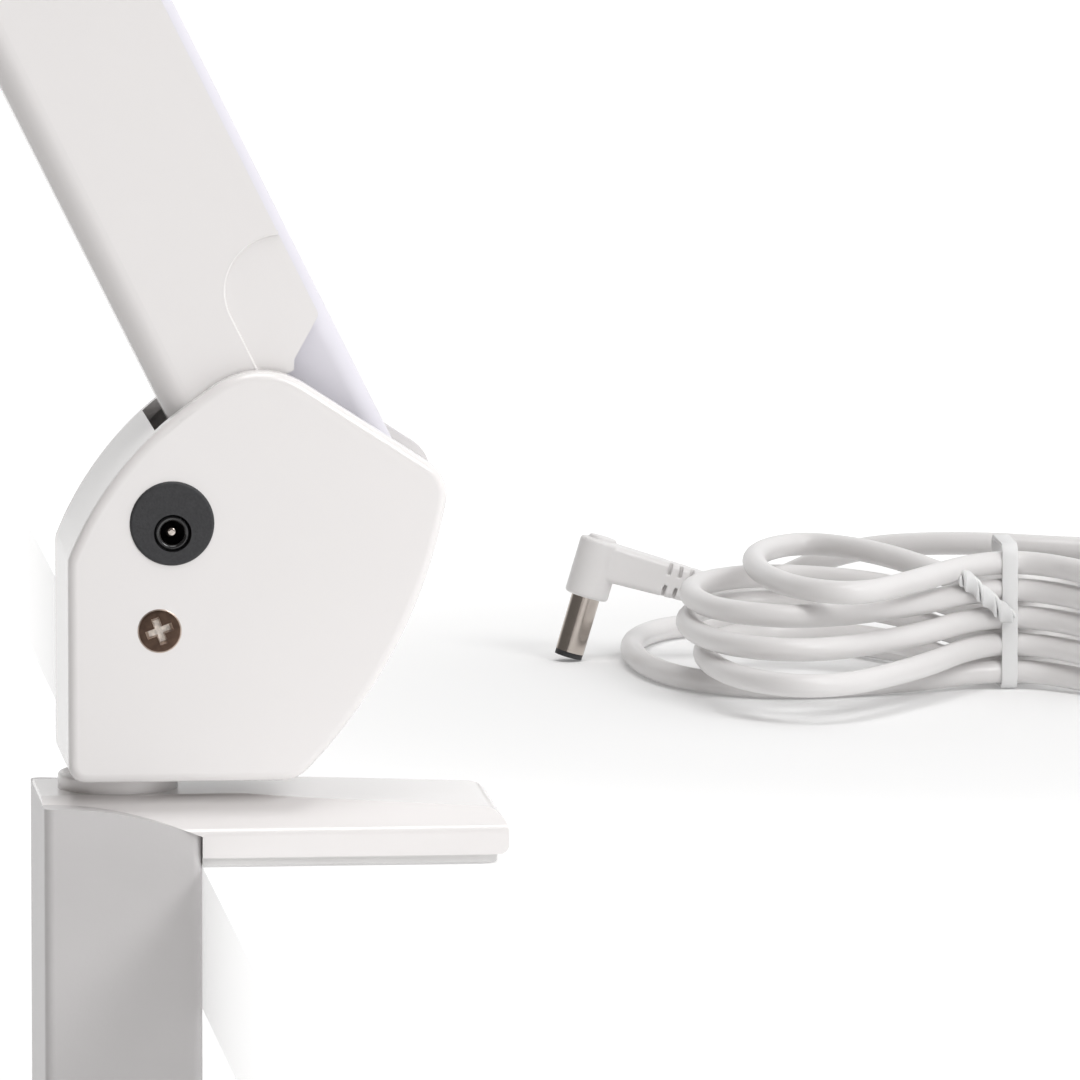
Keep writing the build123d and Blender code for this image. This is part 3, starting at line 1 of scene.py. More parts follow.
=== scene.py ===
import bpy
import json
import math
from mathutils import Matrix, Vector


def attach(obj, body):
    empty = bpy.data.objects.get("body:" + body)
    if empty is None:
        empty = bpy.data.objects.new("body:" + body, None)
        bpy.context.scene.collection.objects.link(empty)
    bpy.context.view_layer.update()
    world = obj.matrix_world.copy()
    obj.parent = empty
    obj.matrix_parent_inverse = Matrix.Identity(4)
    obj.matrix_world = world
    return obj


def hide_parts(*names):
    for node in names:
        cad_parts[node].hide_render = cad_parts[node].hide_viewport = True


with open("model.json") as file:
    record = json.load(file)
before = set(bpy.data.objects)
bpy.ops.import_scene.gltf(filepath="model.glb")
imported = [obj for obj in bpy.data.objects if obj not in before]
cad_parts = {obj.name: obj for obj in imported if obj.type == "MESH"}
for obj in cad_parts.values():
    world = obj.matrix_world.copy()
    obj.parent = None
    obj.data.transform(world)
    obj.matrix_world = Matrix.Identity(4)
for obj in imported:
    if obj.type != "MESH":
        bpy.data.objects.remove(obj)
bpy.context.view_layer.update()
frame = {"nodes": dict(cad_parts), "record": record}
nodes = frame["nodes"]
bpy.ops.object.select_all(action="DESELECT")
print("frame loaded:", len(nodes), "nodes")

# close up on the foot and the unplugged lead, long lens, from a little to the left
cameraLook = {
    "target": (0.0320, -0.019, 0.0560),
    "azimuth": -5.5,
    "elevation": 7.0,
    "distance": 2.50,
    "frameWidth": 0.186,
}
turn = math.radians(cameraLook["azimuth"])
lift = math.radians(cameraLook["elevation"])
away = Vector((math.sin(turn) * math.cos(lift), -math.cos(turn) * math.cos(lift), math.sin(lift)))
bpy.ops.object.camera_add(location=Vector(cameraLook["target"]) + away * cameraLook["distance"])
camera = bpy.context.object
camera.name = "photoCamera"
camera.rotation_euler = (-away).to_track_quat("-Z", "Y").to_euler()
camera.data.sensor_width = 36.0
camera.data.lens = 36.0 * cameraLook["distance"] / cameraLook["frameWidth"]
camera.data.clip_start = 0.01
bpy.context.scene.camera = camera
print("camera placed")


def newNode(tree, kind, place, **values):
    node = tree.nodes.new(kind)
    node.location = place
    for name, value in values.items():
        node.inputs[name.replace("_", " ")].default_value = value
    return node


# every finish: a faint mottle in the colour and a fine grain in the bump, both in Object coordinates
def makeFinish(name, look):
    material = bpy.data.materials.new(name)
    material.use_nodes = True
    tree = material.node_tree
    shader = tree.nodes["Principled BSDF"]
    shader.inputs["Roughness"].default_value = look["roughness"]
    shader.inputs["Metallic"].default_value = look.get("metallic", 0.0)
    shader.inputs["IOR"].default_value = look.get("ior", 1.5)
    shader.inputs["Coat Weight"].default_value = look.get("coat", 0.0)
    shader.inputs["Coat Roughness"].default_value = look.get("coatRoughness", 0.08)
    shader.inputs["Transmission Weight"].default_value = look.get("transmission", 0.0)
    shader.inputs["Subsurface Weight"].default_value = look.get("subsurface", 0.0)
    shader.inputs["Subsurface Scale"].default_value = 0.002
    coords = newNode(tree, "ShaderNodeTexCoord", (-1100, 0))
    stretch = newNode(tree, "ShaderNodeMapping", (-900, 0))
    stretch.inputs["Scale"].default_value = look.get("stretch", (1, 1, 1))
    tree.links.new(coords.outputs["Object"], stretch.inputs["Vector"])
    mottle = newNode(tree, "ShaderNodeTexNoise", (-700, 120), Detail=4.0)
    mottle.inputs["Scale"].default_value = look.get("mottleScale", 60.0)
    tree.links.new(stretch.outputs["Vector"], mottle.inputs["Vector"])
    ramp = newNode(tree, "ShaderNodeValToRGB", (-450, 160))
    red, green, blue = look["color"]
    keep = 1 - look.get("mottle", 0.02)
    ramp.color_ramp.elements[0].position = 0.3
    ramp.color_ramp.elements[1].position = 0.7
    ramp.color_ramp.elements[0].color = (red * keep, green * keep, blue * keep, 1)
    ramp.color_ramp.elements[1].color = (red, green, blue, 1)
    tree.links.new(mottle.outputs["Fac"], ramp.inputs["Fac"])
    tree.links.new(ramp.outputs["Color"], shader.inputs["Base Color"])
    if look.get("bump"):
        grain = newNode(tree, "ShaderNodeTexNoise", (-700, -220), Detail=3.0)
        grain.inputs["Scale"].default_value = look.get("grainScale", 900.0)
        tree.links.new(stretch.outputs["Vector"], grain.inputs["Vector"])
        bump = newNode(tree, "ShaderNodeBump", (-300, -220), Strength=look["bump"])
        bump.inputs["Distance"].default_value = look.get("bumpDepth", 0.0001)
        tree.links.new(grain.outputs["Fac"], bump.inputs["Height"])
        tree.links.new(bump.outputs["Normal"], shader.inputs["Normal"])
    return material


finishes = {
    "glossWhite": {"color": (0.80, 0.778, 0.772), "roughness": 0.22, "coat": 0.3, "mottle": 0.012,
                   "mottleScale": 25.0, "bump": 0.04, "grainScale": 700.0},
    "innerWhite": {"color": (0.70, 0.685, 0.74), "roughness": 0.34, "mottle": 0.015, "bump": 0.08},
    "frameWhite": {"color": (0.60, 0.585, 0.585), "roughness": 0.40, "coat": 0.15, "mottle": 0.02,
                   "mottleScale": 80.0, "bump": 0.2, "grainScale": 1300.0},
    "knobWhite": {"color": (0.76, 0.745, 0.74), "roughness": 0.35, "mottle": 0.02, "bump": 0.15},
    "zincSteel": {"color": (0.60, 0.61, 0.63), "roughness": 0.34, "metallic": 1.0, "mottle": 0.12,
                  "mottleScale": 220.0, "bump": 0.12, "grainScale": 1600.0},
    "brightSteel": {"color": (0.68, 0.68, 0.69), "roughness": 0.22, "metallic": 1.0, "mottle": 0.06,
                    "mottleScale": 400.0, "bump": 0.06},
    # painted highlight: a bright, rough copy of the screw nickel for the floor of the cross
    "nickelPaintedCrossHighlight": {"color": (0.95, 0.86, 0.78), "roughness": 0.45, "metallic": 0.25, "mottle": 0.45,
                    "mottleScale": 1500.0, "bump": 0.4, "grainScale": 2600.0},
    "nickel": {"color": (0.62, 0.56, 0.51), "roughness": 0.16, "metallic": 1.0, "mottle": 0.08,
               "mottleScale": 500.0, "bump": 0.04},
    # painted light: a lighter copy of the screw nickel for the screw rim and the cross walls
    "nickelPaintedRimAndWallLight": {"color": (0.52, 0.42, 0.36), "roughness": 0.3, "metallic": 0.85, "mottle": 0.3,
                  "mottleScale": 1500.0, "bump": 0.2, "grainScale": 2600.0},
    # painted dark reflection: a darkened copy of the screw nickel for the screw face
    "nickelPaintedDarkReflection": {"color": (0.115, 0.075, 0.056), "roughness": 0.36, "metallic": 1.0, "mottle": 0.3,
                   "mottleScale": 900.0, "bump": 0.3, "grainScale": 2200.0},
    "blackGrain": {"color": (0.031, 0.031, 0.034), "roughness": 0.55, "mottle": 0.35,
                   "mottleScale": 2600.0, "bump": 0.6, "grainScale": 2600.0},
    "blackGloss": {"color": (0.012, 0.012, 0.013), "roughness": 0.12, "coat": 0.5, "mottle": 0.1},
    "softPad": {"color": (0.72, 0.715, 0.71), "roughness": 0.75, "mottle": 0.05, "bump": 0.3,
                "grainScale": 1800.0},
    "cordWhite": {"color": (0.78, 0.765, 0.76), "roughness": 0.34, "coat": 0.1, "mottle": 0.02,
                  "mottleScale": 120.0, "bump": 0.08, "grainScale": 900.0},
    "tiePaper": {"color": (0.80, 0.80, 0.80), "roughness": 0.55, "mottle": 0.04, "bump": 0.2},
    "lensGlass": {"color": (0.97, 0.99, 0.98), "roughness": 0.0, "transmission": 1.0, "ior": 1.52,
                  "mottle": 0.0},
    "boardWhite": {"color": (0.75, 0.77, 0.74), "roughness": 0.45, "mottle": 0.05, "mottleScale": 300.0,
                   "bump": 0.1},
    "ledYellow": {"color": (0.9, 0.72, 0.2), "roughness": 0.3, "mottle": 0.1, "mottleScale": 900.0},
    "frosted": {"color": (0.9, 0.9, 0.9), "roughness": 0.55, "transmission": 0.35, "subsurface": 0.2,
                "mottle": 0.02, "bump": 0.2, "grainScale": 2200.0},
}
finish = {name: makeFinish(name, look) for name, look in finishes.items()}

slotFinish = {
    "white_gloss": "glossWhite", "white_inner": "innerWhite", "white_frame": "frameWhite",
    "knob_white": "knobWhite", "steel": "zincSteel", "bright_steel": "brightSteel", "nickel": "nickel",
    "black_plastic": "blackGrain", "rubber": "softPad", "cord_white": "cordWhite",
    "lens_glass": "lensGlass", "lens_frame": "innerWhite", "board": "boardWhite", "led": "ledYellow",
    "diffuser": "frosted",
}
nodeSlot = {row["node"]: row["material_slot"] for row in frame["record"]["subparts"]}
for nodeName, node in nodes.items():
    for materialSlot in node.material_slots:
        materialSlot.material = finish[slotFinish[nodeSlot[nodeName]]]
print("finishes on", len(nodes), "nodes")


def clearSelection():
    if bpy.context.mode != "OBJECT":
        bpy.ops.object.mode_set(mode="OBJECT")
    bpy.ops.object.select_all(action="DESELECT")


def choose(*pieces):
    clearSelection()
    for piece in pieces:
        piece.select_set(True)
    bpy.context.view_layer.objects.active = pieces[0]


def fixPlace(piece):
    choose(piece)
    bpy.ops.object.transform_apply(location=True, rotation=True, scale=True)
    return piece


def pickFaces(piece, wanted):
    choose(piece)
    bpy.ops.object.mode_set(mode="EDIT")
    bpy.ops.mesh.select_mode(type="FACE")
    bpy.ops.mesh.select_all(action="DESELECT")
    bpy.ops.object.mode_set(mode="OBJECT")
    for face in piece.data.polygons:
        face.select = wanted(face.center, face.normal)
    bpy.ops.object.mode_set(mode="EDIT")


def useModifier(piece, kind, **values):
    choose(piece)
    modifier = piece.modifiers.new(kind.lower(), kind)
    for name, value in values.items():
        setattr(modifier, name, value)
    bpy.ops.object.modifier_apply(modifier=modifier.name)


def cutAway(piece, cutter):
    useModifier(piece, "BOOLEAN", operation="DIFFERENCE", object=cutter, solver="EXACT")
    bpy.data.objects.remove(cutter)


# new edges all round the piece at one height
def crossCut(piece, height):
    choose(piece)
    bpy.ops.object.mode_set(mode="EDIT")
    bpy.ops.mesh.select_all(action="SELECT")
    bpy.ops.mesh.bisect(plane_co=(0, 0, height), plane_no=(0, 0, 1))
    bpy.ops.object.mode_set(mode="OBJECT")


def joinAll(pieces, name):
    choose(*pieces)
    bpy.ops.object.join()
    whole = bpy.context.object
    whole.name = name
    return fixPlace(whole)


def smoothOver(piece, angle=35):
    choose(piece)
    bpy.ops.object.shade_smooth_by_angle(angle=math.radians(angle))


def addBox(center, size):
    clearSelection()
    bpy.ops.mesh.primitive_cube_add(size=1, location=center, scale=size)
    return fixPlace(bpy.context.object)


def addDrum(center, radius, height, sides=64):
    clearSelection()
    bpy.ops.mesh.primitive_cylinder_add(vertices=sides, radius=radius, depth=height, location=center)
    return fixPlace(bpy.context.object)


def finishOff(piece, body, slotName, material, *replaced):
    if material:
        piece.data.materials.clear()
        piece.data.materials.append(finish[material])
    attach(piece, body)
    if replaced:
        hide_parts(*replaced)


# cross-head countersunk screw, modelled once for each size with its head's top at Z 0
screwSizes = {
    "housing": {"headRadius": 0.0038, "headHeight": 0.0020, "shankRadius": 0.0019, "length": 0.031,
                "crossLength": 0.0048, "crossWidth": 0.0014, "crossDepth": 0.0008, "crossTurn": 20.0,
                # face, floor of the cross, its walls and the rim: one nickel with a painted dark
                # reflection, a painted highlight, and painted lighter walls and rim
                "metals": ("nickelPaintedDarkReflection", "nickelPaintedCrossHighlight", "nickelPaintedRimAndWallLight")},
    "elbow": {"headRadius": 0.0026, "headHeight": 0.0016, "shankRadius": 0.0012, "length": 0.027,
              "crossLength": 0.0032, "crossWidth": 0.0009, "crossDepth": 0.0008, "crossTurn": 35.0,
              "metals": ("brightSteel", "nickel", "zincSteel")},
}
screwCuts = {
    "rim": (0.00022, 0.00010),
    "face": (0.0004, 0.00004),
    "above": 0.00015,
    "taper": (0.8, 0.72, 1),
}
screwPlaces = {
    "housing": ((-0.0337, -0.019, 0.041, -1), (-0.038, 0.019, 0.028, 1), (-0.003, 0.019, 0.033, 1)),
    "elbow": ((-0.203254, -0.019, 0.438285, -1), (-0.200254, -0.019, 0.457285, -1)),
}


def makeScrew(size):
    head = addDrum((0, 0, -size["headHeight"] / 2), size["headRadius"], size["headHeight"])
    narrow = size["shankRadius"] / size["headRadius"]
    pickFaces(head, lambda place, way: way.z < -0.9)
    bpy.ops.transform.resize(value=(narrow, narrow, 1))
    bpy.ops.mesh.extrude_region_move(
        TRANSFORM_OT_translate={"value": (0, 0, size["headHeight"] - size["length"])}
    )
    pickFaces(head, lambda place, way: way.z > 0.9)
    for part in ("rim", "face"):
        bpy.ops.mesh.inset(thickness=screwCuts[part][0], depth=screwCuts[part][1])
    above = screwCuts["above"]
    for blade in (0, 90):
        cross = addBox(
            (0, 0, (above - size["crossDepth"]) / 2),
            (size["crossLength"], size["crossWidth"], size["crossDepth"] + above),
        )
        pickFaces(cross, lambda place, way: way.z < -0.9)
        bpy.ops.transform.resize(value=screwCuts["taper"])
        clearSelection()
        cross.rotation_euler.z = math.radians(blade + size["crossTurn"])
        cutAway(head, fixPlace(cross))
    for metal in size["metals"]:
        head.data.materials.append(finish[metal])
    # each face takes a metal by where it lies; on the housing screws this paints the highlight in the
    # cross, the lighter rim and walls, and the dark reflection on the face
    for face in head.data.polygons:
        outward = math.hypot(face.center.x, face.center.y)
        sunk = -0.98 * size["headHeight"] < face.center.z < -0.00001
        inCross = sunk and outward < 0.55 * size["crossLength"]
        onRim = face.normal.z > 0.3 and outward > 0.9 * size["headRadius"]
        face.material_index = 0
        if onRim or inCross:
            face.material_index = 1 if inCross and face.normal.z > 0.95 else 2
    smoothOver(head, 30)
    return head


for sizeName, size in screwSizes.items():
    pattern = makeScrew(size)
    screws = []
    for x, y, z, way in screwPlaces[sizeName]:
        screw = pattern.copy()
        screw.data = pattern.data.copy()
        bpy.context.collection.objects.link(screw)
        screw.rotation_euler.x = -way * math.pi / 2
        screw.location = (x, y, z)
        screws.append(screw)
    bpy.data.objects.remove(pattern)
    screwSet = joinAll(screws, sizeName + "Screws")
    if sizeName == "housing":
        finishOff(screwSet, "foot", "nickel", None, "housing_screws")
    else:
        finishOff(screwSet, "elbow", "bright_steel", None, "elbow_screws")
print("screws turned")

# plug: round body with a pressed cap, and a tapered arm that ends in a slotted strain relief
plugLook = {
    "foot": (0.0630, 0.2470, 0.000781),
    "tilt": 16.5,
    "bodyRadius": 0.0042,
    "bodyLow": 0.012,
    "bodyHigh": 0.0232,
    "capRadius": 0.0027,
    "capRise": 0.0007,
    "armMiddle": 0.0195,
    "armStart": 0.0074,
    "armEnd": 0.0062,
    "armTip": 0.0217,
    "slots": 4,
    "slotWidth": 0.0007,
    "slotPitch": 0.00212,
    "slotLip": 0.0013,
    "spine": 0.0020,
    "slotDepth": 0.0016,
    "slotBox": 0.004,
    "slotClear": 0.0002,
    "bodyRound": 0.0006,
    "capRound": 0.0003,
    "armRound": 0.0011,
    "voxel": 0.00016,
}
clearSelection()
bodyMiddle = (plugLook["bodyLow"] + plugLook["bodyHigh"]) / 2
bodyHeight = plugLook["bodyHigh"] - plugLook["bodyLow"]
plugHull = addDrum((0, 0, bodyMiddle), plugLook["bodyRadius"], bodyHeight, 96)
useModifier(plugHull, "BEVEL", width=plugLook["bodyRound"], segments=4, limit_method="ANGLE")
plugCap = addDrum((0, 0, plugLook["bodyHigh"]), plugLook["capRadius"], 2 * plugLook["capRise"], 64)
useModifier(plugCap, "BEVEL", width=plugLook["capRound"], segments=3, limit_method="ANGLE")
plugArm = addBox(
    (plugLook["armTip"] / 2, 0, plugLook["armMiddle"]),
    (plugLook["armTip"], plugLook["armStart"], plugLook["armStart"]),
)
pickFaces(plugArm, lambda place, way: way.x > 0.9)
shrink = plugLook["armEnd"] / plugLook["armStart"]
bpy.ops.transform.resize(value=(1, shrink, shrink))
useModifier(plugArm, "BEVEL", width=plugLook["armRound"], segments=4, limit_method="ANGLE")
slotBox = plugLook["slotBox"]
slotSide = plugLook["armEnd"] / 2 + slotBox / 2 - plugLook["slotDepth"] + plugLook["slotClear"]
slotRise = (plugLook["spine"] + slotBox) / 2
for upDown in (1, -1):
    for nearFar in (1, -1):
        for slotAt in range(plugLook["slots"]):
            middle = plugLook["armTip"] - plugLook["slotLip"] - slotAt * plugLook["slotPitch"]
            slot = addBox(
                (
                    middle - plugLook["slotWidth"] / 2,
                    nearFar * slotSide,
                    plugLook["armMiddle"] + upDown * slotRise,
                ),
                (plugLook["slotWidth"], slotBox, slotBox),
            )
            cutAway(plugArm, slot)
plugBody = joinAll([plugHull, plugCap, plugArm], "plugBody")
useModifier(plugBody, "REMESH", mode="VOXEL", voxel_size=plugLook["voxel"])
useModifier(plugBody, "SMOOTH", factor=0.6, iterations=4)
choose(plugBody)
bpy.ops.object.shade_smooth()
plugBody.rotation_euler.y = math.radians(plugLook["tilt"])
plugBody.location = plugLook["foot"]
fixPlace(plugBody)
finishOff(plugBody, "clamp", "cord_white", "cordWhite", "dc_plug_body")
print("plug body moulded,", len(plugBody.data.polygons), "faces")

# power cord: lead from the plug, tied hank and tail to the adapter, one curve in millimetres
cordRoute = {
    "diameter": 0.0044,
    "waist": (141.5, 202.0),
    "step": 5.15,
    "turns": 5,
    "waistHalf": 3.0,
    "waistRun": 6.0,
    "waistLift": 1.0,
    "mergeReach": 20.0,
    "leftReach": (48.0, 60.5, 61.5, 59.0, 68.0),
    "leftHalf": (43.0, 35.0, 41.0, 45.0, 52.0),
    "leftShift": (0.0, 0.0, -4.0, -13.0, 34.0),
    "rightReach": (44.0, 47.0, 50.0, 47.0, 45.0),
    "rightHalf": (25.0, 27.0, 28.0, 26.0, 21.0),
    "bootEnd": (89.34, 247.0, 13.31),
    "bootWay": (0.9588, 0.0, -0.2840),
}


def hankPoints(route):
    waistX, waistY = route["waist"]
    radius = route["diameter"] * 500
    run, half, liftUp = route["waistRun"], route["waistHalf"], route["waistLift"]
    points = []
    for loop in range(route["turns"]):
        level = radius + (route["turns"] - 1 - loop) * route["step"]
        if loop > 0:
            points += [
                (waistX - run, waistY + half, level + liftUp),
                (waistX + run, waistY + half, level + liftUp),
            ]
        reach, side = route["rightReach"][loop], route["rightHalf"][loop]
        points += [
            (waistX + 0.42 * reach, waistY + 0.94 * side, level),
            (waistX + 0.86 * reach, waistY + 0.86 * side, level),
            (waistX + 1.02 * reach, waistY + 0.3, level),
            (waistX + 0.85 * reach, waistY - 0.87 * side, level),
            (waistX + 0.41 * reach, waistY - 0.93 * side, level),
            (waistX + run, waistY - half, level + liftUp),
            (waistX - run, waistY - half, level + liftUp),
        ]
        reach, side = route["leftReach"][loop], route["leftHalf"][loop]
        middle = waistY + route["leftShift"][loop]
        merge = waistY + 0.5 * route["leftShift"][loop]
        points += [
            (waistX - route["mergeReach"], merge - 0.5 * side, level),
            (waistX - 0.70 * reach, middle - 0.98 * side, level),
            (waistX - 0.97 * reach, middle - 0.55 * side, level),
            (waistX - 0.99 * reach, middle + 0.45 * side, level),
            (waistX - 0.72 * reach, middle + 0.99 * side, level),
            (waistX - route["mergeReach"], merge + 0.5 * side, level),
        ]
    beside = waistY + half + route["step"] + 0.3
    points += [
        (waistX - run, beside, radius + liftUp),
        (waistX + 0.7 * run, beside, radius + liftUp),
        (waistX + 0.7 * run + 4.5, beside + 13.0, radius + liftUp),
    ]
    return points


hank = hankPoints(cordRoute)
bootEnd = Vector(cordRoute["bootEnd"])
leadPoints = [
    bootEnd - Vector(cordRoute["bootWay"]) * 2.0,
    bootEnd + Vector(cordRoute["bootWay"]) * 7.0,
    (bootEnd.x + 14.0, 251.0, 14.5),
    (bootEnd.x + 27.0, 243.0, 21.5),
    (136.5, 233.5, hank[0][2] + 0.8),
]
tailPoints = [
    (154.5, 235.7, 3.2),
    (175.5, 241.0, 2.2),
    (186.5, 239.0, 3.4),
    (196.0, 236.0, 9.0),
    (206.0, 236.0, 9.0),
]
cordPoints = leadPoints + hank + tailPoints
cordCurve = bpy.data.curves.new("powerCord", "CURVE")
cordCurve.dimensions = "3D"
cordLine = cordCurve.splines.new("NURBS")
cordLine.points.add(len(cordPoints) - 1)
for point, place in zip(cordLine.points, cordPoints):
    point.co = (place[0] / 1000, place[1] / 1000, place[2] / 1000, 1)
cordLine.order_u = 3
cordLine.use_endpoint_u = True
cordCurve.resolution_u = 12
cordCurve.bevel_depth = cordRoute["diameter"] / 2
cordCurve.bevel_resolution = 6
cordCurve.use_fill_caps = True
powerCord = bpy.data.objects.new("powerCord", cordCurve)
bpy.context.collection.objects.link(powerCord)
powerCord.data.materials.append(finish["cordWhite"])
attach(powerCord, "clamp")
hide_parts("cord_lead", "cord_hank", "cord_tail")

# flat twist tie round the waist, with its two ends twisted together
tieLook = {
    "width": 0.0030,
    "wall": 0.0008,
    "low": (0.19628, 0.0),
    "high": (0.21318, 0.0277),
    "corner": 0.0026,
    "x": 0.1415,
    "tailLength": 0.015,
    "tailWall": 0.0009,
    "tailApart": 0.0006,
    "tailPieces": 24,
    "tailTurns": 1.5,
    "tailRoot": (0.1415, 0.1958, 0.0135),
    "tailWay": (-0.62, -0.30, 0.56),
}
nearY, lowZ = tieLook["low"]
farY, highZ = tieLook["high"]
tieBand = addBox(
    (tieLook["x"], (nearY + farY) / 2, (lowZ + highZ) / 2),
    (tieLook["width"], farY - nearY, highZ - lowZ),
)
choose(tieBand)
bpy.ops.object.mode_set(mode="EDIT")
bpy.ops.mesh.select_mode(type="EDGE")
bpy.ops.mesh.select_all(action="DESELECT")
bpy.ops.object.mode_set(mode="OBJECT")
for edge in tieBand.data.edges:
    first, second = (tieBand.data.vertices[i].co for i in edge.vertices)
    edge.select = abs(first.x - second.x) > 0.9 * tieLook["width"]
bpy.ops.object.mode_set(mode="EDIT")
bpy.ops.mesh.bevel(offset=tieLook["corner"], segments=6)
pickFaces(tieBand, lambda place, way: abs(way.x) > 0.9)
bpy.ops.mesh.delete(type="FACE")
clearSelection()
useModifier(tieBand, "SOLIDIFY", thickness=tieLook["wall"], offset=-1.0)
useModifier(tieBand, "BEVEL", width=0.0002, segments=2, limit_method="ANGLE")
tieTails = []
for side in (0, 1):
    tail = addBox(
        (0, 0, tieLook["tailLength"] / 2), (tieLook["width"], tieLook["tailWall"], tieLook["tailLength"])
    )
    useModifier(tail, "BEVEL", width=0.0003, segments=2, limit_method="ANGLE")
    tail.location.y = tieLook["tailApart"] * (1 - 2 * side)
    fixPlace(tail)
    for level in range(1, tieLook["tailPieces"]):
        crossCut(tail, tieLook["tailLength"] * level / tieLook["tailPieces"])
    useModifier(
        tail, "SIMPLE_DEFORM", deform_method="TWIST", deform_axis="Z",
        angle=2 * math.pi * tieLook["tailTurns"]
    )
    tieTails.append(tail)
tieTwist = joinAll(tieTails, "tieTwist")
tieTwist.rotation_euler = Vector(tieLook["tailWay"]).to_track_quat("Z", "Y").to_euler()
tieTwist.location = tieLook["tailRoot"]
twistTie = joinAll([tieBand, fixPlace(tieTwist)], "twistTie")
smoothOver(twistTie, 40)
finishOff(twistTie, "clamp", "cord_white", "tiePaper", "twist_tie")
print("cord laid,", len(cordPoints), "points, and tied")

# mains adapter: moulded case with a seam, ribbed relief, prongs with their holes
adapterLook = {
    "center": (0.243, 0.236, 0.0135),
    "size": (0.044, 0.072, 0.027),
    "corner": 0.006,
    "rim": 0.0025,
    "seamGap": 0.0005,
    "seamDepth": 0.0006,
    "reliefFrom": (0.205, 0.236, 0.009),
    "reliefLength": 0.016,
    "reliefRadii": (0.0029, 0.0042),
    "ribs": 5,
    "ribRadius": 0.00055,
    "prongHalf": 0.00635,
    "prongSize": (0.017, 0.0015, 0.0063),
    "prongRise": 0.018,
    "holeRadius": 0.0016,
    "holeAhead": 0.0035,
}
adapterCase = addBox(adapterLook["center"], adapterLook["size"])
adapterCase.name = "adapterCase"
choose(adapterCase)
bpy.ops.object.mode_set(mode="EDIT")
bpy.ops.mesh.select_mode(type="EDGE")
bpy.ops.mesh.select_all(action="DESELECT")
bpy.ops.object.mode_set(mode="OBJECT")
for edge in adapterCase.data.edges:
    first, second = (adapterCase.data.vertices[i].co for i in edge.vertices)
    edge.select = abs(first.z - second.z) > 0.9 * adapterLook["size"][2]
bpy.ops.object.mode_set(mode="EDIT")
bpy.ops.mesh.bevel(offset=adapterLook["corner"], segments=10)
clearSelection()
useModifier(
    adapterCase, "BEVEL", width=adapterLook["rim"], segments=5, limit_method="ANGLE",
    angle_limit=math.radians(60)
)
seamMiddle = adapterLook["center"][2]
for upDown in (-0.5, 0.5):
    crossCut(adapterCase, seamMiddle + upDown * adapterLook["seamGap"])
pickFaces(adapterCase, lambda place, way: abs(place.z - seamMiddle) < 0.4 * adapterLook["seamGap"])
bpy.ops.mesh.extrude_region_shrink_fatten(
    TRANSFORM_OT_shrink_fatten={"value": -adapterLook["seamDepth"]}
)
clearSelection()
smoothOver(adapterCase, 40)
finishOff(adapterCase, "clamp", "white_gloss", "glossWhite", "adapter_lower_case", "adapter_upper_case")

reliefX, reliefY, reliefZ = adapterLook["reliefFrom"]
clearSelection()
bpy.ops.mesh.primitive_cone_add(
    vertices=48, radius1=adapterLook["reliefRadii"][0], radius2=adapterLook["reliefRadii"][1],
    depth=adapterLook["reliefLength"], rotation=(0, math.pi / 2, 0),
    location=(reliefX + adapterLook["reliefLength"] / 2, reliefY, reliefZ),
)
reliefParts = [fixPlace(bpy.context.object)]
for rib in range(adapterLook["ribs"]):
    share = (rib + 0.6) / (adapterLook["ribs"] + 0.8)
    ribRadius = adapterLook["reliefRadii"][0] * (1 - share) + adapterLook["reliefRadii"][1] * share
    bpy.ops.mesh.primitive_torus_add(
        major_radius=ribRadius, minor_radius=adapterLook["ribRadius"],
        major_segments=48, minor_segments=10, rotation=(0, math.pi / 2, 0),
        location=(reliefX + share * adapterLook["reliefLength"], reliefY, reliefZ),
    )
    reliefParts.append(fixPlace(bpy.context.object))
adapterRelief = joinAll(reliefParts, "adapterRelief")
smoothOver(adapterRelief, 40)
finishOff(adapterRelief, "clamp", "cord_white", "cordWhite", "adapter_relief")

prongs = []
prongX = adapterLook["center"][0] + adapterLook["size"][0] / 2 + adapterLook["prongSize"][0] / 2
for side in (-1, 1):
    prongY = adapterLook["center"][1] + side * adapterLook["prongHalf"]
    prong = addBox((prongX, prongY, adapterLook["prongRise"]), adapterLook["prongSize"])
    useModifier(prong, "BEVEL", width=0.0004, segments=2, limit_method="ANGLE")
    clearSelection()
    bpy.ops.mesh.primitive_cylinder_add(
        vertices=32, radius=adapterLook["holeRadius"], depth=0.01, rotation=(math.pi / 2, 0, 0),
        location=(prongX + adapterLook["holeAhead"], prongY, adapterLook["prongRise"]),
    )
    cutAway(prong, fixPlace(bpy.context.object))
    smoothOver(prong, 30)
    prongs.append(prong)
adapterProngs = joinAll(prongs, "adapterProngs")
finishOff(adapterProngs, "clamp", "nickel", "nickel", "adapter_prongs")
print("adapter made")

# rolled thread of the clamp screw, on a smooth nose, in one traced profile
threadLook = {
    "root": 0.0040,
    "crest": 0.00495,
    "pitch": 0.0020,
    "low": -0.1200,
    "high": -0.0368,
    "noseRadius": 0.0032,
    "noseTop": -0.0285,
    "shaftLow": -0.1220,
}


def traceProfile(start, steps):
    clearSelection()
    bpy.ops.mesh.primitive_plane_add(size=0.001, location=start)
    line = fixPlace(bpy.context.object)
    bpy.ops.object.mode_set(mode="EDIT")
    bpy.ops.mesh.select_mode(type="VERT")
    bpy.ops.mesh.select_all(action="SELECT")
    bpy.ops.mesh.merge(type="CENTER")
    for step in steps:
        bpy.ops.mesh.extrude_region_move(TRANSFORM_OT_translate={"value": step})
    bpy.ops.object.mode_set(mode="OBJECT")
    return line


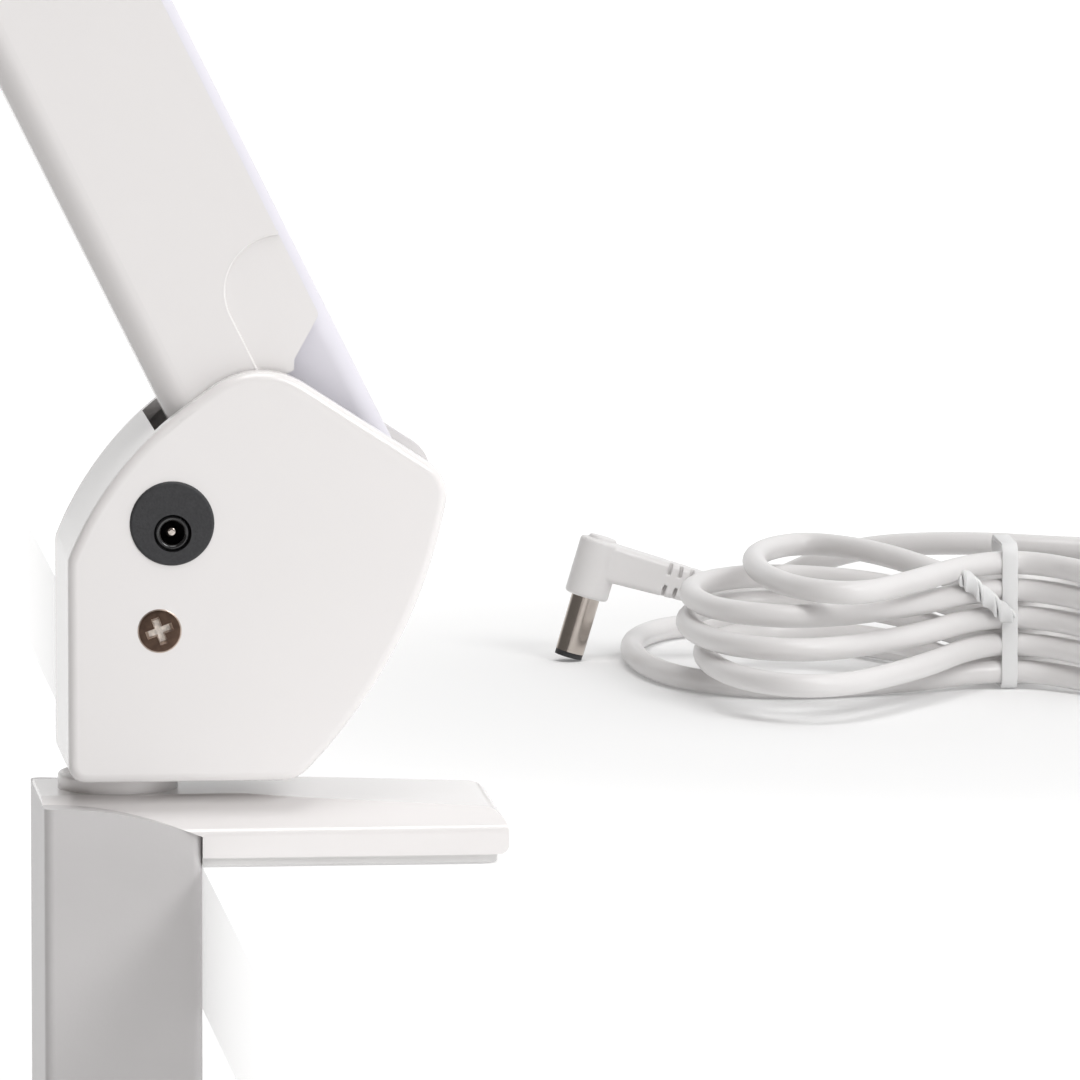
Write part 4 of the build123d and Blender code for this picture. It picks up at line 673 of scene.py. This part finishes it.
flank = threadLook["crest"] - threadLook["root"]
pitch = threadLook["pitch"]
thread = traceProfile(
    (threadLook["root"], 0, threadLook["low"]),
    [(0, 0, 0.2 * pitch), (flank, 0, 0.25 * pitch), (0, 0, 0.25 * pitch), (-flank, 0, 0.3 * pitch)],
)
turns = int((threadLook["high"] - threadLook["low"]) / pitch)
useModifier(
    thread, "SCREW", axis="Z", angle=2 * math.pi, screw_offset=pitch, iterations=turns, steps=40,
    render_steps=40, use_merge_vertices=True, merge_threshold=0.00001,
)
choose(thread)
bpy.ops.object.mode_set(mode="EDIT")
bpy.ops.mesh.select_all(action="SELECT")
bpy.ops.mesh.remove_doubles(threshold=0.00001)
bpy.ops.mesh.select_all(action="DESELECT")
bpy.ops.mesh.select_non_manifold()
bpy.ops.mesh.edge_face_add()
bpy.ops.mesh.select_all(action="SELECT")
bpy.ops.mesh.normals_make_consistent(inside=False)
bpy.ops.object.mode_set(mode="OBJECT")
shaftHeight = threadLook["high"] + 0.001 - threadLook["shaftLow"]
shaft = addDrum(
    (0, 0, threadLook["shaftLow"] + shaftHeight / 2), threadLook["root"] - 0.00005, shaftHeight, 48
)
useModifier(shaft, "BEVEL", width=0.0006, segments=2, limit_method="ANGLE")
noseHeight = threadLook["noseTop"] - threadLook["high"]
nose = addDrum((0, 0, threadLook["high"] + noseHeight / 2), threadLook["noseRadius"], noseHeight, 48)
clampScrew = joinAll([thread, shaft, nose], "clampScrew")
smoothOver(clampScrew, 35)
finishOff(clampScrew, "screw", "bright_steel", "brightSteel", "clamp_screw")
print("clamp screw threaded")

# polished lip of the power inlet's hole
inletLook = {"place": (-0.0314, -0.0182, 0.0579), "radius": 0.00258, "lip": 0.00048}
clearSelection()
bpy.ops.mesh.primitive_torus_add(
    major_radius=inletLook["radius"], minor_radius=inletLook["lip"],
    major_segments=64, minor_segments=12, location=inletLook["place"], rotation=(math.pi / 2, 0, 0),
)
inletLip = fixPlace(bpy.context.object)
inletLip.name = "inletLip"
choose(inletLip)
bpy.ops.object.shade_smooth()
finishOff(inletLip, "foot", "black_plastic", "blackGloss")
print("inlet lip set")

# rounded step of the recessed cheek, on both faces and at both ends of each arm
cheekLook = {
    "radius": 0.0100,
    "middle": (0.0167, 0.0287),
    "depth": 0.0146,
    "bead": 0.00042,
    "straight": 0.0130,
    "sweep": 113.6,
    "armLength": 0.400,
}
armPlaces = {
    "lower_arm": {"pivot": (-0.0145, 0.066), "lean": -26.4},
    "upper_arm": {"pivot": (-0.183954, 0.473086), "lean": 70.0},
}


def makeBead(look):
    clearSelection()
    left = look["middle"][0] - look["radius"]
    bpy.ops.mesh.primitive_circle_add(
        vertices=16, radius=look["bead"], fill_type="NGON", rotation=(math.pi / 2, 0, 0),
        location=(left, look["middle"][1] - look["straight"], look["depth"]),
    )
    bead = fixPlace(bpy.context.object)
    bpy.ops.object.mode_set(mode="EDIT")
    bpy.ops.mesh.select_mode(type="FACE")
    bpy.ops.mesh.select_all(action="SELECT")
    bpy.ops.mesh.extrude_region_move(TRANSFORM_OT_translate={"value": (0, look["straight"], 0)})
    bpy.ops.mesh.spin(
        steps=28, angle=math.radians(look["sweep"]), axis=(0, 0, 1),
        center=(*look["middle"], look["depth"]),
    )
    bpy.ops.mesh.select_all(action="SELECT")
    bpy.ops.mesh.remove_doubles(threshold=0.000001)
    bpy.ops.mesh.normals_make_consistent(inside=False)
    bpy.ops.object.mode_set(mode="OBJECT")
    return bead


beadPattern = makeBead(cheekLook)
for armName, arm in armPlaces.items():
    lean = math.radians(arm["lean"])
    beads = []
    for farEnd in (False, True):
        for face in (1, -1):
            bead = beadPattern.copy()
            bead.data = beadPattern.data.copy()
            bpy.context.collection.objects.link(bead)
            bead.scale = (1, -1 if farEnd else 1, face)
            bead.location.y = cheekLook["armLength"] if farEnd else 0
            fixPlace(bead)
            bead.rotation_euler = (math.pi / 2, lean, 0)
            bead.location = (arm["pivot"][0], 0, arm["pivot"][1])
            fixPlace(bead)
            bpy.ops.object.mode_set(mode="EDIT")
            bpy.ops.mesh.select_all(action="SELECT")
            bpy.ops.mesh.normals_make_consistent(inside=False)
            bpy.ops.object.mode_set(mode="OBJECT")
            beads.append(bead)
    cheekStep = joinAll(beads, armName.split("_")[0] + "CheekStep")
    smoothOver(cheekStep, 50)
    finishOff(cheekStep, armName, "white_gloss", "glossWhite")
bpy.data.objects.remove(beadPattern)
print("cheek steps rounded")

# table, floor and light: the table ends at the clamp's stem, the sky is darker on one side
studio = {
    "tableLow": (-0.0264, -0.21, -0.0250),
    "tableHigh": (0.34, 0.48, -0.0001),
    "floor": -0.72,
    "pale": (0.80, 0.80, 0.80),
    "tableGlow": {"middle": (0.15, 0.17, 0.0), "reach": (0.10, 0.40), "strength": (0.14, 0.60)},
    "floorGlow": {"middle": (0.0, 0.0, -0.72), "reach": (1.5, 5.0), "strength": (0.05, 0.60)},
    "sky": 0.90,
    "skyTurn": 55.0,
    "skyFade": (-0.4, 0.1),
    "skyDark": (0.18, 0.17, 0.162),
    "lightsAim": (0.03, 0, 0.05),
}


# pale matt surface that glows faintly, and more the further it is from its middle
def makePale(name, glow):
    material = bpy.data.materials.new(name)
    material.use_nodes = True
    tree = material.node_tree
    shader = tree.nodes["Principled BSDF"]
    shader.inputs["Base Color"].default_value = (*studio["pale"], 1)
    shader.inputs["Roughness"].default_value = 0.8
    shader.inputs["Specular IOR Level"].default_value = 0.1
    shader.inputs["Emission Color"].default_value = (1, 1, 1, 1)
    coords = newNode(tree, "ShaderNodeTexCoord", (-1100, -200))
    center = newNode(tree, "ShaderNodeMapping", (-900, -200))
    center.inputs["Location"].default_value = [-value for value in glow["middle"]]
    tree.links.new(coords.outputs["Object"], center.inputs["Vector"])
    reach = tree.nodes.new("ShaderNodeVectorMath")
    reach.operation = "LENGTH"
    tree.links.new(center.outputs["Vector"], reach.inputs[0])
    strength = newNode(tree, "ShaderNodeMapRange", (-400, -200))
    strength.interpolation_type = "SMOOTHSTEP"
    strength.inputs["From Min"].default_value = glow["reach"][0]
    strength.inputs["From Max"].default_value = glow["reach"][1]
    strength.inputs["To Min"].default_value = glow["strength"][0]
    strength.inputs["To Max"].default_value = glow["strength"][1]
    tree.links.new(reach.outputs["Value"], strength.inputs["Value"])
    tree.links.new(strength.outputs["Result"], shader.inputs["Emission Strength"])
    return material


low, high = Vector(studio["tableLow"]), Vector(studio["tableHigh"])
clearSelection()
bpy.ops.mesh.primitive_cube_add(size=1, location=(low + high) / 2, scale=high - low)
tableTop = bpy.context.object
tableTop.name = "tableTop"
fixPlace(tableTop)
tableTop.data.materials.append(makePale("paleTable", studio["tableGlow"]))
bpy.ops.mesh.primitive_plane_add(size=60, location=(0, 0, studio["floor"]))
studioFloor = fixPlace(bpy.context.object)
studioFloor.name = "studioFloor"
studioFloor.data.materials.append(makePale("paleFloor", studio["floorGlow"]))

bpy.context.scene.view_settings.view_transform = "Standard"
world = bpy.data.worlds.new("softStudio")
bpy.context.scene.world = world
world.use_nodes = True
sky = world.node_tree
skyWay = newNode(sky, "ShaderNodeTexCoord", (-900, 0))
skyTurn = newNode(sky, "ShaderNodeMapping", (-700, 0))
skyTurn.inputs["Rotation"].default_value = (0, 0, math.radians(studio["skyTurn"]))
sky.links.new(skyWay.outputs["Generated"], skyTurn.inputs["Vector"])
skySplit = newNode(sky, "ShaderNodeSeparateXYZ", (-500, 0))
sky.links.new(skyTurn.outputs["Vector"], skySplit.inputs["Vector"])
skyReach = newNode(sky, "ShaderNodeMapRange", (-400, -150))
skyReach.inputs["From Min"].default_value = studio["skyFade"][0]
skyReach.inputs["From Max"].default_value = studio["skyFade"][1]
sky.links.new(skySplit.outputs["Y"], skyReach.inputs["Value"])
skyRamp = newNode(sky, "ShaderNodeValToRGB", (-300, 0))
skyRamp.color_ramp.elements[0].color = (*studio["skyDark"], 1)
skyRamp.color_ramp.elements[1].color = (1, 1, 1, 1)
sky.links.new(skyReach.outputs["Result"], skyRamp.inputs["Fac"])
sky.links.new(skyRamp.outputs["Color"], sky.nodes["Background"].inputs["Color"])
sky.nodes["Background"].inputs["Strength"].default_value = studio["sky"]

softBoxes = {
    "keyBox": {"place": (1.0, -1.5, 1.3), "size": 0.8, "power": 15.5},
    "topBox": {"place": (0.0, -0.5, 1.7), "size": 0.8, "power": 11.0},
}
for name, box in softBoxes.items():
    bpy.ops.object.light_add(type="AREA", location=box["place"])
    lamp = bpy.context.object
    lamp.name = name
    lamp.data.size = box["size"]
    lamp.data.energy = box["power"]
    beam = Vector(studio["lightsAim"]) - Vector(box["place"])
    lamp.rotation_euler = beam.to_track_quat("-Z", "Y").to_euler()
print("studio lit")
